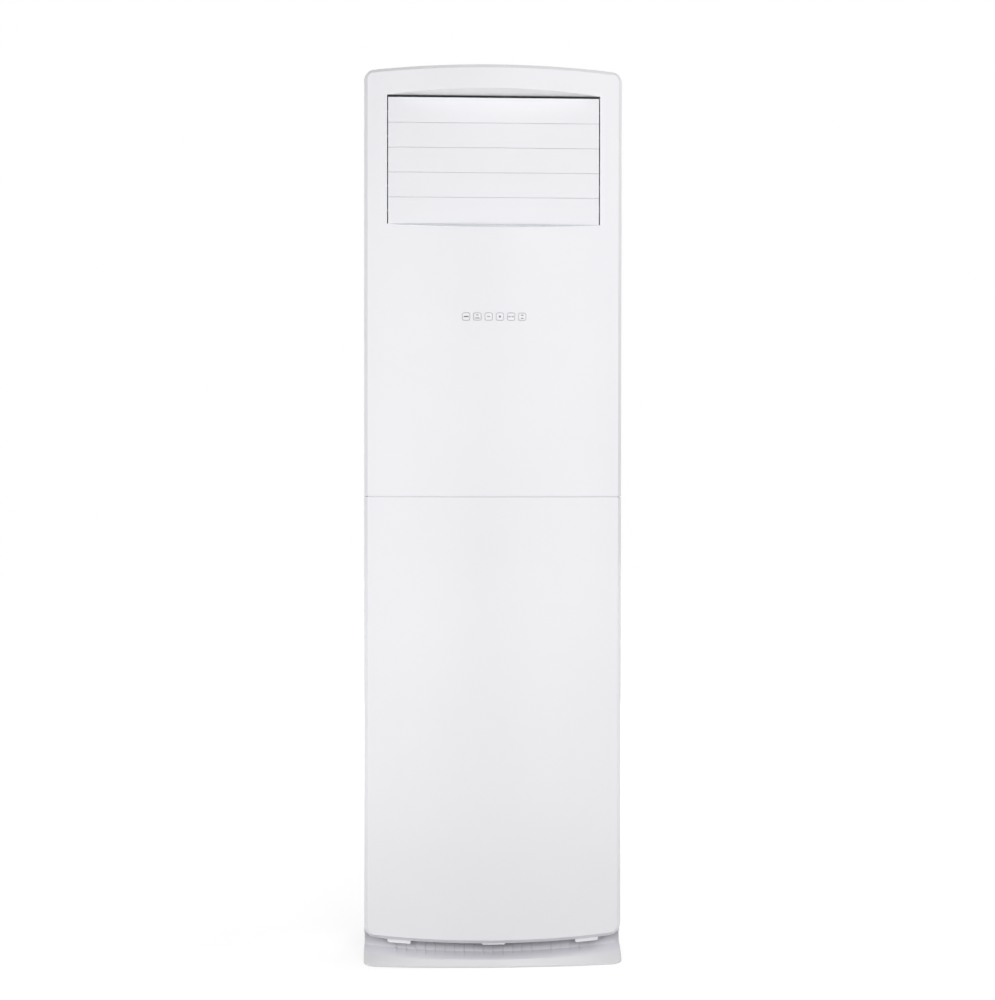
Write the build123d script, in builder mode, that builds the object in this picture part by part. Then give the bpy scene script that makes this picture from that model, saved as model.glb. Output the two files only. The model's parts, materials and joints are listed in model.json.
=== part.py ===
from build123d import *
from math import cos, radians, sin, sqrt, tan
import os

os.makedirs("parts", exist_ok=True)

# A floor standing air conditioner, in millimetres. The origin is on the floor, in the middle of the
# footprint. +Z is up and the bowed front looks along -Y.

# ---- Driving dimensions: cabinet --------------------------------------------------------------
total_height = 1750.0
body_width = 508.0
front_y = -155.0  # foremost line of the bowed front
bow = 54.0  # depth of the bow over the whole width
rear_y = 158.5  # outer face of the rear panel
moulding_depth = 87.0  # from the foremost line to where the mouldings meet the steel cabinet
seam_z = 913.6  # seam between the two front mouldings
seam_gap = 1.4
panel_wall = 3.0
rim = 8.0  # bevel round the edge of each front moulding
top_corner_radius = 19.0
bottom_corner_radius = 23.0
sheet = 1.0  # steel sheet
fit_gap = 0.3  # between pieces that are put together
flange = 16.0
cover_wall = 2.5
tab_width = 46.5
tab_thickness = 3.0
tab_chamfer = 2.5
side_tab_inset = 69.5
side_tab_drop = 6.4  # below the moulding
middle_tab_drop = 2.7

# ---- Driving dimensions: base -----------------------------------------------------------------
base_overhang = 0.9  # base beyond the cabinet, each side
base_height = 66.0
base_bevel = 0.6
toe_reach = 5.0  # toe in front of the mouldings
toe_bow = 14.4
toe_inset = 1.5  # toe narrower than the base, each side
toe_corner_radius = 30.0
toe_foot = 3.0  # upright foot of the sloped toe
toe_height = 14.0
cove_top_z = 42.0
panel_base_gap = 1.7  # mouldings above the cove
cove_depth = 32.0
cove_bend = (25.0, 9.0)  # where the cove turns up, behind and above the top of the toe
cove_corner_radius = 22.0
cove_rib_count = 21
cove_rib_pitch = 19.0
cove_rib_width = 1.6
cove_rib_proud = 1.2
cove_rib_root = 4.0
deck = 4.0
plug_side_gap = 4.0  # raised part of the base inside the lower moulding
plug_front_gap = 6.0
plug_corner_radius = 6.0
pocket_columns = 4
pocket_rows = 2  # behind the row that lies under the cove
pocket_rib = 3.0
pocket_margin = 4.0
anchor_spacing_x = 380.0
anchor_spacing_y = 150.0
anchor_y = 45.0
anchor_hole_radius = 6.5
anchor_boss_radius = 14.0
pan_flange = 18.0

# ---- Driving dimensions: outlet, slats and vanes ----------------------------------------------
outlet_depth = 35.0  # slat faces behind the foremost line of the front
outlet_inset = 45.9  # from the sides of the cabinet
outlet_drop = 53.0  # from the top of the cabinet
outlet_height = 251.6
soffit_draft = 9.0  # degrees
sill_draft = 17.0
outlet_throat = 12.0  # opening carried on behind the slat faces
slat_count = 5
slat_gap = 0.9
slat_top_gap = 4.0
slat_sill_gap = 0.5
slat_skirt = 3.6  # more on the lower edge of the lowest slat
slat_crown = 1.5  # more on the upper edge of the highest slat
slat_thickness = 2.6
slat_edge = 0.8
slat_end_gap = 2.0
slat_axis_depth = 13.0  # pivot axis behind the slat faces
slat_pin_radius = 2.5
slat_crank = 14.0
slat_lip = 2.5
slat_ear = 4.0
slat_ear_root = 16.0
stepper_radius = 11.0
stepper_length = 12.0
stepper_offset = 8.0  # body centre beside the shaft
stepper_ear = (36.0, 7.0, 2.0)
stepper_plug = (6.0, 14.0)
link_pin_radius = 2.0
link_width = 8.0
link_thickness = 3.0
running_clearance = 0.08
frame_wall = 3.0
frame_setback = 5.0  # frame behind the slat faces
frame_drop = 2.0
frame_rise = 3.0
vane_count = 6
vane_pitch = 58.0
vane_chord = 44.0
vane_gap = 3.25  # between the vanes and the slats when they stand open
vane_thickness = 2.0
vane_corner = 5.0
vane_crank = 16.0
vane_boss = 5.0
vane_notch = 9.0
vane_link_lift = 4.0
vane_room = 6.0  # frame beyond the vanes
liner_gap = 4.0

# ---- Driving dimensions: keys -----------------------------------------------------------------
key_count = 6
key_pitch = 21.7
key_size = 14.6
key_corner = 3.8
key_gap = 0.35
key_drop = 183.4  # keys below the outlet
key_travel = 0.8
key_flange = 1.8
key_flange_thickness = 1.0
key_stem_radius = 2.0
key_hole_reach = 12.0
key_board_depth = 17.0  # board behind the foremost line of the front
key_board_margin = 5.0
board_post_gap = 14.0  # posts beside the outer keys
board_post_z = 12.0
board_post_radius = 3.5
switch_size = 6.0
switch_height = 3.5
plunger_radius = 1.75
plunger_height = 1.5
socket_size = (18.0, 6.0, 5.0)
socket_drop = 9.0

# ---- Driving dimensions: side intakes ---------------------------------------------------------
intake_front_gap = 12.0  # window behind the front mouldings
intake_width = 80.0
intake_height = 580.0
intake_top_gap = 15.0  # window below the partition
intake_return = 12.0
grille_corner = 1.0
grille_thickness = 6.0
grille_slot_pitch = 16.0
grille_slot_height = 9.0
grille_margin = 7.7
filter_thickness = 5.0
filter_rib = 5.0
filter_cells = 6
filter_mesh = 0.8

# ---- Driving dimensions: fan and scroll -------------------------------------------------------
fan_z = 400.0
partition_z = 760.0
wheel_side_room = 94.0  # between the wheel and the sides of the cabinet
wheel_width = 95.0
wheel_gap = 12.0  # wheel behind the scroll's front
wheel_disc = 3.0
wheel_ring = 4.0
wheel_ring_width = 18.0
wheel_blade_count = 40
wheel_blade_depth = 24.0
wheel_blade_thickness = 1.6
wheel_blade_angle = 28.0
hub_gap = 16.0  # hub round the motor
hub_boss = 8.0
shaft_radius = 6.0
shaft_nut = (11.0, 9.0)
scroll_wall = 3.0
scroll_front_y = 12.0
scroll_spans = 12
tongue_angle = 60.0
tongue_gap = 20.0  # scroll outside the wheel at the tongue
discharge_left_x = -100.0
inlet_step = 18.0  # inlet inside the blades
inlet_flare = 16.0
inlet_wall = 2.0
motor_radius = 62.0
motor_inset = 64.0  # motor's nose behind the wheel's front
motor_nose = (40.0, 8.0)
motor_edge = 4.0
shaft_in_motor = 40.0
mount_width = 260.0
mount_thickness = 2.0
mount_corner = 10.0
mount_hole_inset = 12.0
mount_hole_radius = 3.0
notch_width = 48.0
notch_gap = 6.0  # round the pipes and the hose

# ---- Driving dimensions: coil and drain -------------------------------------------------------
coil_inset = 54.0  # from the sides of the cabinet
coil_thickness = 44.0
coil_foot_gap = 35.8  # coil's foot behind the front of the tray
coil_lift = 32.0  # coil's foot above the underside of the tray
coil_head_room = 27.4  # coil's head in front of the rear panel
coil_head_drop = 9.6  # coil's head below the outlet frame
fin_pitch = 10.0
fin_groove = 7.0
fin_depth = 20.0
end_plate = 1.5
end_plate_margin = 6.0
end_plate_lip = 1.5
bend_radius = 12.5
bend_stub = 8.0
bend_pitch = 52.0
tube_radius = 4.8
cover_rib_pitch = 150.0
cover_rib_width = 14.0
cover_rib_inset = 60.0
tray_lift = 124.0  # above the partition
tray_reach = 38.0  # tray behind the coil's foot
tray_height = 36.0
tray_wall = 2.5
beam_height = 28.0
beam_depth = 26.0
coil_rest = 6.0
spout_offset = 8.0  # beside the pipes
spout_radius = 6.9
spout_bore = 5.0
spout_length = 18.0

# ---- Driving dimensions: pipes and cable entry ------------------------------------------------
pipe_offset = 15.0  # pipes beside the middle of their exit
pipe_wall = 1.0
gas_pipe_radius = 8.0
gas_pipe_y = 104.0
gas_rise = 6.0  # union above the middle of the exit
gas_bend = 16.0
gas_nut = 14.0
liquid_pipe_radius = 4.8
liquid_pipe_y = 76.0
liquid_fall = 19.0  # union below the middle of the exit
liquid_bend = 12.0
liquid_nut = 10.5
union_inset = 30.5  # from the rear of the cabinet
union_length = 15.0
hose_radius = 9.0
hose_bore = 7.0
hose_y = 36.0
hose_bend = 25.0
hose_drop = 58.0  # first turn below the tray
hose_rise = 30.0  # second turn above the partition
hose_fall = 14.0  # hose's end below the middle of the exit
hose_offset = 13.0
hose_sweep = 64.0
exit_inset = 46.0
exit_z = 128.0
grommet_bore = 26.0
grommet_wall = 3.0
grommet_length = 12.0
gland_inset = 54.0
gland_bore = 6.5
gland_wall = 4.0
gland_length = 30.0
gland_flange = 16.1
gland_nut = 6.0

# ---- Driving dimensions: controls and fasteners -----------------------------------------------
box_width = 220.0
box_height = 170.0
box_depth = 56.0
box_top_gap = 4.0
box_inset = 34.0  # from the right side of the cabinet
box_wall = 1.5
box_lip = 8.0
board_size = (200.0, 114.0)
board_rise = 104.0  # middle of the main board above the box's bottom
board_thickness = 1.6
board_post = 6.0
board_post_inset = 8.0
capacitor = (11.0, 30.0)  # radius and height
capacitor_place = (-62.0, 30.0)  # from the middle of the main board
heat_sink = (56.0, 30.0, 24.0)
heat_sink_place = (20.0, 28.0)
heat_sink_groove = (3.0, 22.0)
heat_sink_pitch = 8.0
relay = (18.0, 14.0, 18.0)
relay_place = (-60.0, -18.0)
relay_pitch = 24.0
transformer = (30.0, 34.0, 18.0)
transformer_place = (66.0, -8.0)
plug = (14.0, 7.0, 9.0)
plug_drop = 46.0
plug_pitch = 22.0
plug_count = 8
terminal_size = (82.0, 22.0, 26.0)
terminal_place = (-56.0, 8.0)  # from the middle and the bottom of the box
terminal_count = 5
terminal_pitch = 15.0
terminal_rib = 3.0
terminal_screw_radius = 3.5
bracket_drop = 60.0  # from the top of the cabinet
bracket_size = (124.0, 30.0)
bracket_corner = 6.0
bracket_spacing = 90.0
bracket_hole_radius = 3.5
screw_shank = 2.0
screw_head = 4.2
screw_head_height = 1.5
screw_length = 7.0
screw_clearance = 0.1
rear_screw_count = 11
rear_screw_inset = (9.0, 30.0, 36.0)  # from the side, the base and the top cover

# ---- Worked out from the above ----------------------------------------------------------------
body_half = body_width / 2
base_half = body_half + base_overhang
toe_half = base_half - toe_inset
bow_radius = (body_half**2 + bow**2) / (2 * bow)
panel_back_y = front_y + moulding_depth
panel_bottom_z = cove_top_z + panel_base_gap
toe_y = front_y - toe_reach
toe_bow_radius = (toe_half**2 + toe_bow**2) / (2 * toe_bow)
side_tab_x = body_half - side_tab_inset
grip_tabs = ((-side_tab_x, side_tab_drop), (0, middle_tab_drop), (side_tab_x, side_tab_drop))
inner_half = body_half - sheet
rear_inner_y = rear_y - sheet
side_top_z = total_height - 2 * top_corner_radius
upper_low_z = seam_z + seam_gap / 2
lower_high_z = seam_z - seam_gap / 2
pan_half = inner_half - fit_gap
pan_front_y = panel_back_y + sheet + fit_gap
pan_back_y = rear_inner_y - sheet - fit_gap
pocket_half = base_half - pocket_margin
pocket_step = 2 * pocket_half / pocket_columns
pocket_front_y = panel_back_y + 2 * pocket_rib
pocket_row_depth = (rear_y - pocket_margin - pocket_front_y) / pocket_rows
outlet_half_width = body_half - outlet_inset
outlet_top_z = total_height - outlet_drop
outlet_bottom_z = outlet_top_z - outlet_height
slat_face_y = front_y + outlet_depth
slat_axis_y = slat_face_y + slat_axis_depth
slat_half = outlet_half_width - slat_end_gap
slat_row = outlet_height - slat_sill_gap - slat_skirt - slat_crown - slat_top_gap
slat_pitch = slat_row / slat_count
slat_height = slat_pitch - slat_gap
slat_low_z = outlet_bottom_z + slat_sill_gap + slat_skirt
frame_half = outlet_half_width + fit_gap
frame_outer_half = frame_half + frame_wall
frame_front_y = slat_face_y + frame_setback
frame_low_z = outlet_bottom_z - frame_drop
frame_high_z = outlet_top_z + frame_rise
vane_axis_y = slat_axis_y + slat_height / 2 + vane_gap + vane_chord / 2
frame_back_y = vane_axis_y + vane_chord / 2 + vane_room
pin_reach = frame_outer_half - slat_half - fit_gap
crank_x = -frame_outer_half - fit_gap
link_x = crank_x - slat_thickness - fit_gap
drive_slat = slat_count // 2
drive_vane = vane_count // 2
vane_low_z = frame_low_z + fit_gap
vane_high_z = frame_high_z - fit_gap
vane_link_z = vane_low_z + vane_link_lift
key_z = outlet_bottom_z - key_drop
board_post_x = (key_count - 1) / 2 * key_pitch + board_post_gap
key_board_y = front_y + key_board_depth
plunger_front_y = key_board_y - switch_height - plunger_height
key_stem_end_y = plunger_front_y - key_travel - running_clearance
intake_y = panel_back_y + intake_front_gap + intake_width / 2
intake_z = partition_z - intake_top_gap - intake_height / 2
grille_width = intake_width - 2 * fit_gap
grille_height = intake_height - 2 * fit_gap
grille_slot_length = grille_width - 2 * grille_margin
grille_slot_count = int((grille_height - 2 * grille_margin) / grille_slot_pitch)
filter_cell_pitch = (grille_height - filter_rib) / filter_cells
scroll_back_y = rear_inner_y - fit_gap - mount_thickness - scroll_wall
wheel_radius = body_half - wheel_side_room
scroll_small = wheel_radius + tongue_gap
scroll_large = body_half - intake_return - scroll_wall - 1.0
wheel_front_y = scroll_front_y + wheel_gap
wheel_back_y = wheel_front_y + wheel_width
inlet_radius = wheel_radius - wheel_blade_depth - inlet_step
hub_radius = motor_radius + hub_gap
motor_front_y = wheel_front_y + motor_inset
motor_back_y = scroll_back_y + scroll_wall
hub_front_y = motor_front_y - hub_boss
beam_back_y = pan_front_y + beam_depth
tray_z = partition_z + tray_lift
cover_high_z = frame_low_z - frame_wall - fit_gap
tray_front_y = pan_front_y + 2 * sheet + fit_gap
coil_foot_y = tray_front_y + coil_foot_gap
tray_back_y = coil_foot_y + tray_reach
tray_depth = tray_back_y - tray_front_y
tray_y = (tray_front_y + tray_back_y) / 2
coil_foot_z = tray_z + coil_lift
coil_rise = frame_low_z - frame_wall - coil_head_drop - coil_foot_z
coil_lean = rear_inner_y - coil_head_room - coil_foot_y
coil_length = sqrt(coil_rise**2 + coil_lean**2)
coil_sine = coil_lean / coil_length
coil_cosine = coil_rise / coil_length
coil_width = 2 * (body_half - coil_inset)
coil_side_x = coil_width / 2 + end_plate
groove_count = int(coil_width / fin_pitch) - 1
end_plate_width = coil_thickness + 2 * end_plate_lip
bend_count = int(coil_length / bend_pitch)
first_bend = (coil_length - (bend_count - 1) * bend_pitch) / 2 - bend_radius
spout_y = beam_back_y + hose_radius + 2.5
exit_x = exit_inset - body_half
pipe_x = exit_x - pipe_offset
spout_x = pipe_x + spout_offset
hose_exit_x = exit_x + hose_offset
hose_low_z = exit_z - hose_fall
gas_end_z = exit_z + gas_rise
liquid_end_z = exit_z - liquid_fall
union_y = rear_y - union_inset
notch_low_y = hose_y - hose_radius - notch_gap
notch_high_y = gas_pipe_y + gas_pipe_radius + notch_gap
gland_x = body_half - gland_inset
box_x = body_half - box_inset - box_width / 2
box_bottom_z = partition_z - box_top_gap - box_height
box_back_y = scroll_front_y - scroll_wall
box_front_y = box_back_y - box_depth
board_back_y = box_back_y - box_wall - board_post
board_z = box_bottom_z + board_rise
bracket_z = total_height - bracket_drop
rear_screw_x = body_half - rear_screw_inset[0]
first_screw_z = base_height + rear_screw_inset[1]
rear_screw_pitch = (side_top_z - rear_screw_inset[2] - first_screw_z) / (rear_screw_count - 1)
rear_screw_z = [first_screw_z + step * rear_screw_pitch for step in range(rear_screw_count)]
on_its_foot = (Align.CENTER, Align.CENTER, Align.MIN)
on_its_head = (Align.CENTER, Align.CENTER, Align.MAX)
against_the_back = (Align.CENTER, Align.MAX, Align.MIN)


def bow_depth(x, radius=bow_radius):
    return radius - sqrt(radius**2 - x**2)


def along_y(x, y, z):
    return Location((x, y, z), (-90, 0, 0))


def finish(piece, name):
    piece.part.label = name
    export_step(piece.part, f"parts/{name}.step")


# ---- Base -------------------------------------------------------------------------------------
def base_plan(z, near_y, radius, half, corner, back_y):
    side_y = near_y + bow_depth(half, radius)
    with BuildSketch(Plane.XY.offset(z)) as plan:
        with BuildLine():
            ThreePointArc((-half, side_y), (0, near_y), (half, side_y))
            Polyline((half, side_y), (half, back_y), (-half, back_y), (-half, side_y))
        make_face()
        fillet(plan.vertices().group_by(Axis.Y)[0], corner)
    return plan.sketch


with BuildPart() as base_plinth:
    extrude(base_plan(0, toe_y, toe_bow_radius, toe_half, toe_corner_radius, rear_y), amount=toe_foot)
    toe_low = base_plan(toe_foot, toe_y, toe_bow_radius, toe_half, toe_corner_radius, rear_y)
    cove_steps = ((0, toe_height), (cove_bend[0], toe_height + cove_bend[1]), (cove_depth, cove_top_z))
    cove_plans = [
        base_plan(z, front_y + behind, bow_radius, base_half, cove_corner_radius, rear_y)
        for behind, z in cove_steps
    ]
    loft([toe_low, *cove_plans], ruled=True)
    for number in range(cove_rib_count):
        rib_x = (number - (cove_rib_count - 1) / 2) * cove_rib_pitch
        rib_y = front_y + bow_depth(rib_x)
        with BuildSketch(Plane.YZ.offset(rib_x)):
            with BuildLine():
                Polyline(
                    (rib_y + cove_rib_proud, toe_height),
                    (rib_y + cove_bend[0] - cove_rib_proud, toe_height + cove_bend[1] + cove_rib_proud),
                    (rib_y + cove_depth - cove_rib_proud, cove_top_z),
                    (rib_y + cove_depth + cove_rib_root, cove_top_z),
                    (rib_y + cove_bend[0] + cove_rib_root, toe_height),
                    close=True,
                )
            make_face()
        extrude(amount=cove_rib_width / 2, both=True)
    # The raised part behind the lower front moulding, and the part that carries the cabinet
    raised_front = base_plan(
        cove_top_z,
        front_y + cove_depth + 2,
        bow_radius,
        body_half - bottom_corner_radius - plug_side_gap,
        plug_corner_radius,
        panel_back_y + plug_front_gap - 1,
    )
    extrude(raised_front, amount=base_height - cove_top_z)
    with BuildSketch(Plane.XY.offset(cove_top_z)):
        with Locations((0, (panel_back_y + rear_y) / 2)):
            Rectangle(2 * base_half, rear_y - panel_back_y)
    extrude(amount=base_height - cove_top_z)
    top_edges = base_plinth.faces().sort_by(Axis.Z)[-1].edges().filter_by(Axis.Y)
    chamfer([top_edges.sort_by(Axis.X)[0], top_edges.sort_by(Axis.X)[-1]], base_bevel)
    # Underside pockets, which leave ribs and a deck
    for column in range(pocket_columns):
        left = -pocket_half + column * pocket_step
        middle = left + pocket_step / 2
        outer = max(abs(left), abs(left + pocket_step))
        first_y = front_y + cove_depth + bow_depth(outer) + 2 * pocket_rib
        rows_y = [pocket_front_y + row * pocket_row_depth for row in range(pocket_rows + 1)]
        edges_y = (first_y, *rows_y)
        for low_y, high_y in zip(edges_y, edges_y[1:]):
            size_y = high_y - low_y - pocket_rib
            roof = base_height - deck if low_y > panel_back_y - 1 else cove_top_z - deck
            if size_y > 3 * pocket_rib:
                with Locations((middle, (low_y + high_y) / 2, roof / 2)):
                    Box(pocket_step - pocket_rib, size_y, roof, mode=Mode.SUBTRACT)
    with BuildSketch():
        with Locations((0, anchor_y)):
            with GridLocations(anchor_spacing_x, anchor_spacing_y, 2, 2):
                Circle(anchor_boss_radius)
    extrude(amount=base_height - deck / 2)
    with Locations((0, anchor_y, base_height)):
        with GridLocations(anchor_spacing_x, anchor_spacing_y, 2, 2):
            Hole(anchor_hole_radius)
finish(base_plinth, "base_plinth")

# ---- Bottom pan -------------------------------------------------------------------------------
pan_depth = pan_back_y - pan_front_y
pan_y = (pan_front_y + pan_back_y) / 2
edge_height = pan_flange - sheet - running_clearance

with BuildPart() as bottom_pan:
    with Locations((0, pan_y, base_height)):
        Box(2 * pan_half, pan_depth, sheet, align=on_its_foot)
    with Locations((0, anchor_y, base_height)):
        with GridLocations(anchor_spacing_x, anchor_spacing_y, 2, 2):
            Hole(anchor_hole_radius, 4 * sheet)
    # Edge strips, welded on the floor of the pan
    with Locations((0, pan_y, base_height + sheet + running_clearance)):
        with GridLocations(2 * pan_half - sheet, 0, 2, 1):
            Box(sheet, pan_depth, edge_height, align=on_its_foot)
        with GridLocations(0, pan_depth - sheet, 1, 2):
            Box(2 * (pan_half - sheet - running_clearance), sheet, edge_height, align=on_its_foot)
finish(bottom_pan, "bottom_pan")

# ---- Steel sides ------------------------------------------------------------------------------
def side_panel(side):
    """The side sheet, with an edge strip welded along each upright edge and a frame in its intake window."""
    height = side_top_z - base_height
    depth = rear_inner_y - panel_back_y
    with BuildPart() as panel:
        with Locations((side * (body_half - sheet / 2), (panel_back_y + rear_inner_y) / 2, base_height)):
            Box(sheet, depth, height, align=on_its_foot)
        with Locations((side * body_half, intake_y, intake_z)):
            Box(4 * sheet, intake_width + 2 * sheet, intake_height + 2 * sheet, mode=Mode.SUBTRACT)
        strip_width = flange - sheet - running_clearance
        strip_x = inner_half - running_clearance - strip_width / 2
        for y in (panel_back_y + sheet / 2, rear_inner_y - sheet / 2):
            with Locations((side * strip_x, y, base_height)):
                Box(strip_width, sheet, height, align=on_its_foot)
        with Locations((side * (body_half - intake_return / 2), intake_y, intake_z)):
            Box(
                intake_return,
                intake_width + 2 * (sheet - running_clearance),
                intake_height + 2 * (sheet - running_clearance),
            )
            Box(intake_return + 2, intake_width, intake_height, mode=Mode.SUBTRACT)
        for z in rear_screw_z:
            with Locations(along_y(side * rear_screw_x, rear_inner_y, z)):
                Cylinder(screw_shank + screw_clearance, 4 * sheet, mode=Mode.SUBTRACT)
    return panel


left_side_panel = side_panel(-1)
finish(left_side_panel, "left_side_panel")
right_side_panel = side_panel(1)
finish(right_side_panel, "right_side_panel")

# ---- Rear panel -------------------------------------------------------------------------------
with BuildPart() as rear_panel:
    with BuildSketch(Plane.XZ.offset(-rear_inner_y)):
        with Locations((0, (base_height + side_top_z) / 2)):
            Rectangle(body_width, side_top_z - base_height)
    extrude(amount=-sheet)
    for z in rear_screw_z:
        with Locations(along_y(-rear_screw_x, rear_y, z), along_y(rear_screw_x, rear_y, z)):
            Cylinder(screw_shank + screw_clearance, 4 * sheet, mode=Mode.SUBTRACT)
    with Locations(along_y(exit_x, rear_y, exit_z)):
        Cylinder(grommet_bore + grommet_wall + fit_gap, 4 * sheet, mode=Mode.SUBTRACT)
    with Locations(along_y(gland_x, rear_y, exit_z)):
        Cylinder(gland_bore + gland_wall + fit_gap, 4 * sheet, mode=Mode.SUBTRACT)
    with Locations(
        along_y(-bracket_spacing / 2, rear_y, bracket_z), along_y(bracket_spacing / 2, rear_y, bracket_z)
    ):
        Cylinder(bracket_hole_radius, 4 * sheet, mode=Mode.SUBTRACT)
finish(rear_panel, "rear_panel")

with BuildPart() as wall_bracket:
    with BuildSketch(Plane.XZ.offset(-rear_y)):
        with Locations((0, bracket_z)):
            RectangleRounded(*bracket_size, bracket_corner)
            with GridLocations(bracket_spacing, 0, 2, 1):
                Circle(bracket_hole_radius, mode=Mode.SUBTRACT)
    extrude(amount=-screw_head_height)
finish(wall_bracket, "wall_bracket")

with BuildPart() as pipe_grommet:
    with Locations(along_y(exit_x, rear_y + screw_head_height, exit_z)):
        Cylinder(grommet_bore + grommet_wall, grommet_length, align=on_its_head)
        Cylinder(grommet_bore + 2 * grommet_wall, screw_head_height, align=on_its_head)
        Cylinder(grommet_bore, grommet_length, align=on_its_head, mode=Mode.SUBTRACT)
finish(pipe_grommet, "pipe_grommet")

with BuildPart() as cable_gland:
    with Locations(along_y(gland_x, rear_y + screw_head_height, exit_z)):
        Cylinder(gland_bore + gland_wall, gland_length, align=on_its_head)
        Cylinder(gland_flange, screw_head_height, align=on_its_head)
    with BuildSketch(Plane.XZ.offset(fit_gap - rear_inner_y)):
        with Locations((gland_x, exit_z)):
            RegularPolygon(gland_flange, 6)
    extrude(amount=gland_nut)
    with Locations(along_y(gland_x, rear_y + screw_head_height, exit_z)):
        Cylinder(gland_bore, gland_length, align=on_its_head, mode=Mode.SUBTRACT)
finish(cable_gland, "cable_gland")

with BuildPart() as rear_screws:
    for z in rear_screw_z:
        with Locations(along_y(-rear_screw_x, rear_y, z), along_y(rear_screw_x, rear_y, z)):
            Cylinder(screw_head, screw_head_height, align=on_its_foot)
            Cylinder(screw_shank, screw_length, align=on_its_head)
finish(rear_screws, "rear_screws")

# ---- Top cover --------------------------------------------------------------------------------
def rounded_top(inset):
    half = body_half - inset
    with BuildSketch(Plane.XZ.offset(-panel_back_y)) as outline:
        with Locations((0, side_top_z)):
            Rectangle(2 * half, total_height - inset - side_top_z, align=(Align.CENTER, Align.MIN))
        fillet(outline.vertices().group_by(Axis.Y)[-1], top_corner_radius - inset)
    return outline.sketch


with BuildPart() as top_cover:
    extrude(rounded_top(0), amount=-(rear_y - panel_back_y))
    extrude(rounded_top(cover_wall), amount=-(rear_y - panel_back_y - cover_wall), mode=Mode.SUBTRACT)
finish(top_cover, "top_cover")

# ---- Front mouldings --------------------------------------------------------------------------
def front_block(inset, low_z, high_z, rounded_high, back_y):
    half = body_half - inset
    near_y = front_y + inset
    radius = bow_radius - inset
    side_y = near_y + bow_depth(half, radius)
    with BuildPart() as block:
        with BuildSketch(Plane.XY.offset(low_z)):
            with BuildLine():
                ThreePointArc((-half, side_y), (0, near_y), (half, side_y))
                Polyline((half, side_y), (half, back_y), (-half, back_y), (-half, side_y))
            make_face()
        extrude(amount=high_z - low_z)
        long_edges = block.edges().filter_by(Axis.Y).group_by(Axis.Z)
        if rounded_high:
            fillet(long_edges[-1], top_corner_radius - inset)
        else:
            fillet(long_edges[0], bottom_corner_radius - inset)
        seam_side = low_z if rounded_high else high_z
        bowed = block.faces().sort_by(Axis.Y)[0]
        chamfer([edge for edge in bowed.edges() if abs(edge.center().Z - seam_side) > 1], rim)
    return block.part


outlet_reach = outlet_depth + 5
outlet_pocket_points = (
    (slat_face_y + outlet_throat, outlet_bottom_z),
    (slat_face_y, outlet_bottom_z),
    (slat_face_y - outlet_reach, outlet_bottom_z - outlet_reach * tan(radians(sill_draft))),
    (slat_face_y - outlet_reach, outlet_top_z + outlet_reach * tan(radians(soffit_draft))),
    (slat_face_y, outlet_top_z),
    (slat_face_y + outlet_throat, outlet_top_z),
)
outlet_lining_points = (
    (slat_face_y + panel_wall, outlet_bottom_z - panel_wall),
    (slat_face_y, outlet_bottom_z - panel_wall),
    (slat_face_y - outlet_reach, outlet_pocket_points[2][1] - panel_wall),
    (slat_face_y - outlet_reach, outlet_pocket_points[3][1] + panel_wall),
    (slat_face_y, outlet_top_z + panel_wall),
    (slat_face_y + panel_wall, outlet_top_z + panel_wall),
)


def across_x(points, half):
    with BuildPart() as prism:
        with BuildSketch(Plane.YZ):
            with BuildLine():
                Polyline(*points, close=True)
            make_face()
        extrude(amount=half, both=True)
    return prism.part


def key_x(number):
    return (number - (key_count - 1) / 2) * key_pitch


upper_outside = front_block(0, upper_low_z, total_height, True, panel_back_y)
upper_inside = front_block(
    panel_wall, upper_low_z + panel_wall, total_height - panel_wall, True, panel_back_y + 1
)
outlet_pocket = across_x(outlet_pocket_points, outlet_half_width)
outlet_lining = across_x(outlet_lining_points, outlet_half_width + panel_wall)
board_post_y = front_y + bow_depth(board_post_x) + panel_wall / 2

with BuildPart() as upper_hollow:
    add(upper_inside)
    add(outlet_lining, mode=Mode.SUBTRACT)

with BuildPart() as front_panel_upper:
    add(upper_outside)
    add(upper_hollow.part, mode=Mode.SUBTRACT)
    add(outlet_pocket, mode=Mode.SUBTRACT)
    with BuildSketch(Plane.XZ.offset(-front_y)):
        with Locations((0, key_z)):
            with GridLocations(key_pitch, 0, key_count, 1):
                RectangleRounded(
                    key_size + 2 * key_gap, key_size + 2 * key_gap, key_corner + key_gap
                )
    extrude(amount=-key_hole_reach, mode=Mode.SUBTRACT)
    with BuildSketch(Plane.XZ.offset(-board_post_y)):
        with Locations((0, key_z)):
            with GridLocations(2 * board_post_x, 2 * board_post_z, 2, 2):
                Circle(board_post_radius)
    extrude(amount=-(key_board_y - board_post_y))
finish(front_panel_upper, "front_panel_upper")

lower_outside = front_block(0, panel_bottom_z, lower_high_z, False, panel_back_y)
lower_inside = front_block(
    panel_wall, panel_bottom_z + panel_wall, lower_high_z - panel_wall, False, panel_back_y + 1
)
base_clearance = base_plan(
    panel_bottom_z - 1,
    front_y + cove_depth - 4,
    bow_radius,
    body_half - bottom_corner_radius - plug_side_gap / 2,
    plug_corner_radius,
    panel_back_y + plug_front_gap,
)


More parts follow.
